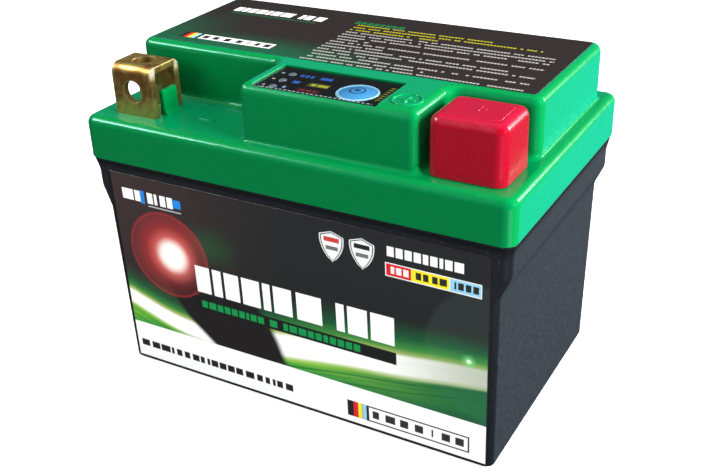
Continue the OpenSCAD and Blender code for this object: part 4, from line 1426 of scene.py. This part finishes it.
def floor_pale():
    """Near white to the camera, darker to bounced light and to reflections."""
    mat = Shader("floor_pale")
    rays = mat.new("ShaderNodeLightPath").outputs
    seen = mat.mix(mat.noise(6, detail=3), rgb(238, 238, 238), rgb(243, 243, 243))
    bounced = mat.mix(rays["Is Glossy Ray"], rgb(150, 152, 154), rgb(44, 46, 48))
    mat.colour = mat.mix(rays["Is Camera Ray"], bounced, seen)
    # a little brighter far from the battery
    squares = mat.plus(mat.times(mat.x, mat.x), mat.times(mat.y, mat.y))
    far = mat.smooth(mat.math("POWER", squares, 0.5), 250.0, 700.0)
    glow = mat.times(rays["Is Camera Ray"], mat.scaled(far, 0.16, 0.45))
    # a camera under the floor looks through it, so that the underside can be seen
    back = mat.new("ShaderNodeNewGeometry").outputs["Backfacing"]
    mat.finish(0.85, Specular_IOR_Level=0.2, Emission_Color=(1, 1, 1, 1),
               Emission_Strength=glow,
               Alpha=mat.inverse(mat.times(back, rays["Is Camera Ray"])))
    return mat.material


def make_floor():
    """Square open under the battery, so that light reaches the underside."""
    corners = [(x * sx, y * sy, FLOOR_Z) for x, y in ((FLOOR_HALF, FLOOR_HALF),
                                                      (OPENING_X, OPENING_Y))
               for sx, sy in ((-1, -1), (1, -1), (1, 1), (-1, 1))]
    floor = new_object("floor", corners,
                       [(0, 1, 5, 4), (1, 2, 6, 5), (2, 3, 7, 6), (3, 0, 4, 7)])
    give(floor, floor_pale())


# ------------------------------------------------------------------ world, lights, camera
def make_world():
    """Even fill for matt surfaces, a dark room for reflections, white behind the object."""
    world = bpy.data.worlds.new("studio")
    scene.world = world
    world.use_nodes = True
    tree = world.node_tree
    tree.nodes.clear()
    output = tree.nodes.new("ShaderNodeOutputWorld")
    rays = tree.nodes.new("ShaderNodeLightPath").outputs

    def sky(strength):
        node = tree.nodes.new("ShaderNodeBackground")
        node.inputs[0].default_value = (1.0, 1.0, 1.0, 1.0)
        node.inputs[1].default_value = strength
        return node.outputs[0]

    def choose(*sources):
        node = tree.nodes.new("ShaderNodeMixShader")
        for socket, source in zip(node.inputs, sources):
            tree.links.new(source, socket)
        return node.outputs[0]

    fill = choose(rays["Is Glossy Ray"], sky(0.5), sky(0.07))
    tree.links.new(choose(rays["Is Camera Ray"], fill, sky(1.0)), output.inputs[0])


# name, position, aim, size x, size y (metres), watts, whether it shows in reflections only
LIGHTS = (
    ("right_box", (0.80, -0.05, 0.36), (0, 0, 0.05), 0.50, 0.45, 21.0, False),
    ("top_box", (-0.10, 0.05, 0.75), (0, 0, 0.06), 0.45, 0.35, 2.2, False),
    ("front_box", (-0.32, -0.72, 0.45), (0, 0, 0.05), 0.50, 0.40, 3.9, False),
    ("strip_front", (-0.57, -0.30, 0.58), (0, 0, 0.08), 0.36, 0.08, 5.5, True),
    ("strip_back", (0.54, 0.66, 0.30), (0, 0, 0.08), 0.10, 0.30, 5.0, True),
    ("card", (0.155, -0.10, 0.002), (0.155, -0.10, 1.0), 0.05, 0.08, 0.035, True),
)


def make_light(name, position, aim, size_x, size_y, watts, reflections):
    """Area light seen either in reflections or by matt surfaces, never by the camera."""
    data = bpy.data.lights.new(name, "AREA")
    data.shape = "RECTANGLE"
    data.size, data.size_y, data.energy = size_x, size_y, watts
    light = bpy.data.objects.new(name, data)
    scene.collection.objects.link(light)
    light.location = position
    direction = Vector(aim) - Vector(position)
    light.rotation_euler = direction.to_track_quat("-Z", "Y").to_euler()
    light.visible_camera = False
    light.visible_diffuse = not reflections
    light.visible_glossy = reflections


CAMERA_PLACE = (0.120503, -0.209681, 0.161803)      # metres
YAW, PITCH, ROLL = -0.52595, -0.48562, -0.035676    # radians, yaw from +Y towards +X


def make_camera():
    data = bpy.data.cameras.new("cam")
    data.lens = 52.95
    data.sensor_width = 36.0
    data.clip_start = 0.01
    camera = bpy.data.objects.new("cam", data)
    scene.collection.objects.link(camera)
    scene.camera = camera
    forward = Vector((math.cos(PITCH) * math.sin(YAW), math.cos(PITCH) * math.cos(YAW),
                      math.sin(PITCH)))
    level = Vector((math.cos(YAW), -math.sin(YAW), 0.0))
    upright = level.cross(forward)
    right = level * math.cos(ROLL) + upright * math.sin(ROLL)
    up = -level * math.sin(ROLL) + upright * math.cos(ROLL)
    matrix = Matrix((right, up, -forward)).transposed().to_4x4()
    matrix.translation = Vector(CAMERA_PLACE)
    camera.matrix_world = matrix


scene = bpy.context.scene
make_floor()
scene.view_settings.view_transform = "Standard"
scene.view_settings.look = "None"
scene.view_settings.exposure = 0.0
scene.view_settings.gamma = 1.0
make_world()
for light_values in LIGHTS:
    make_light(*light_values)
make_camera()

bpy.context.view_layer.update()
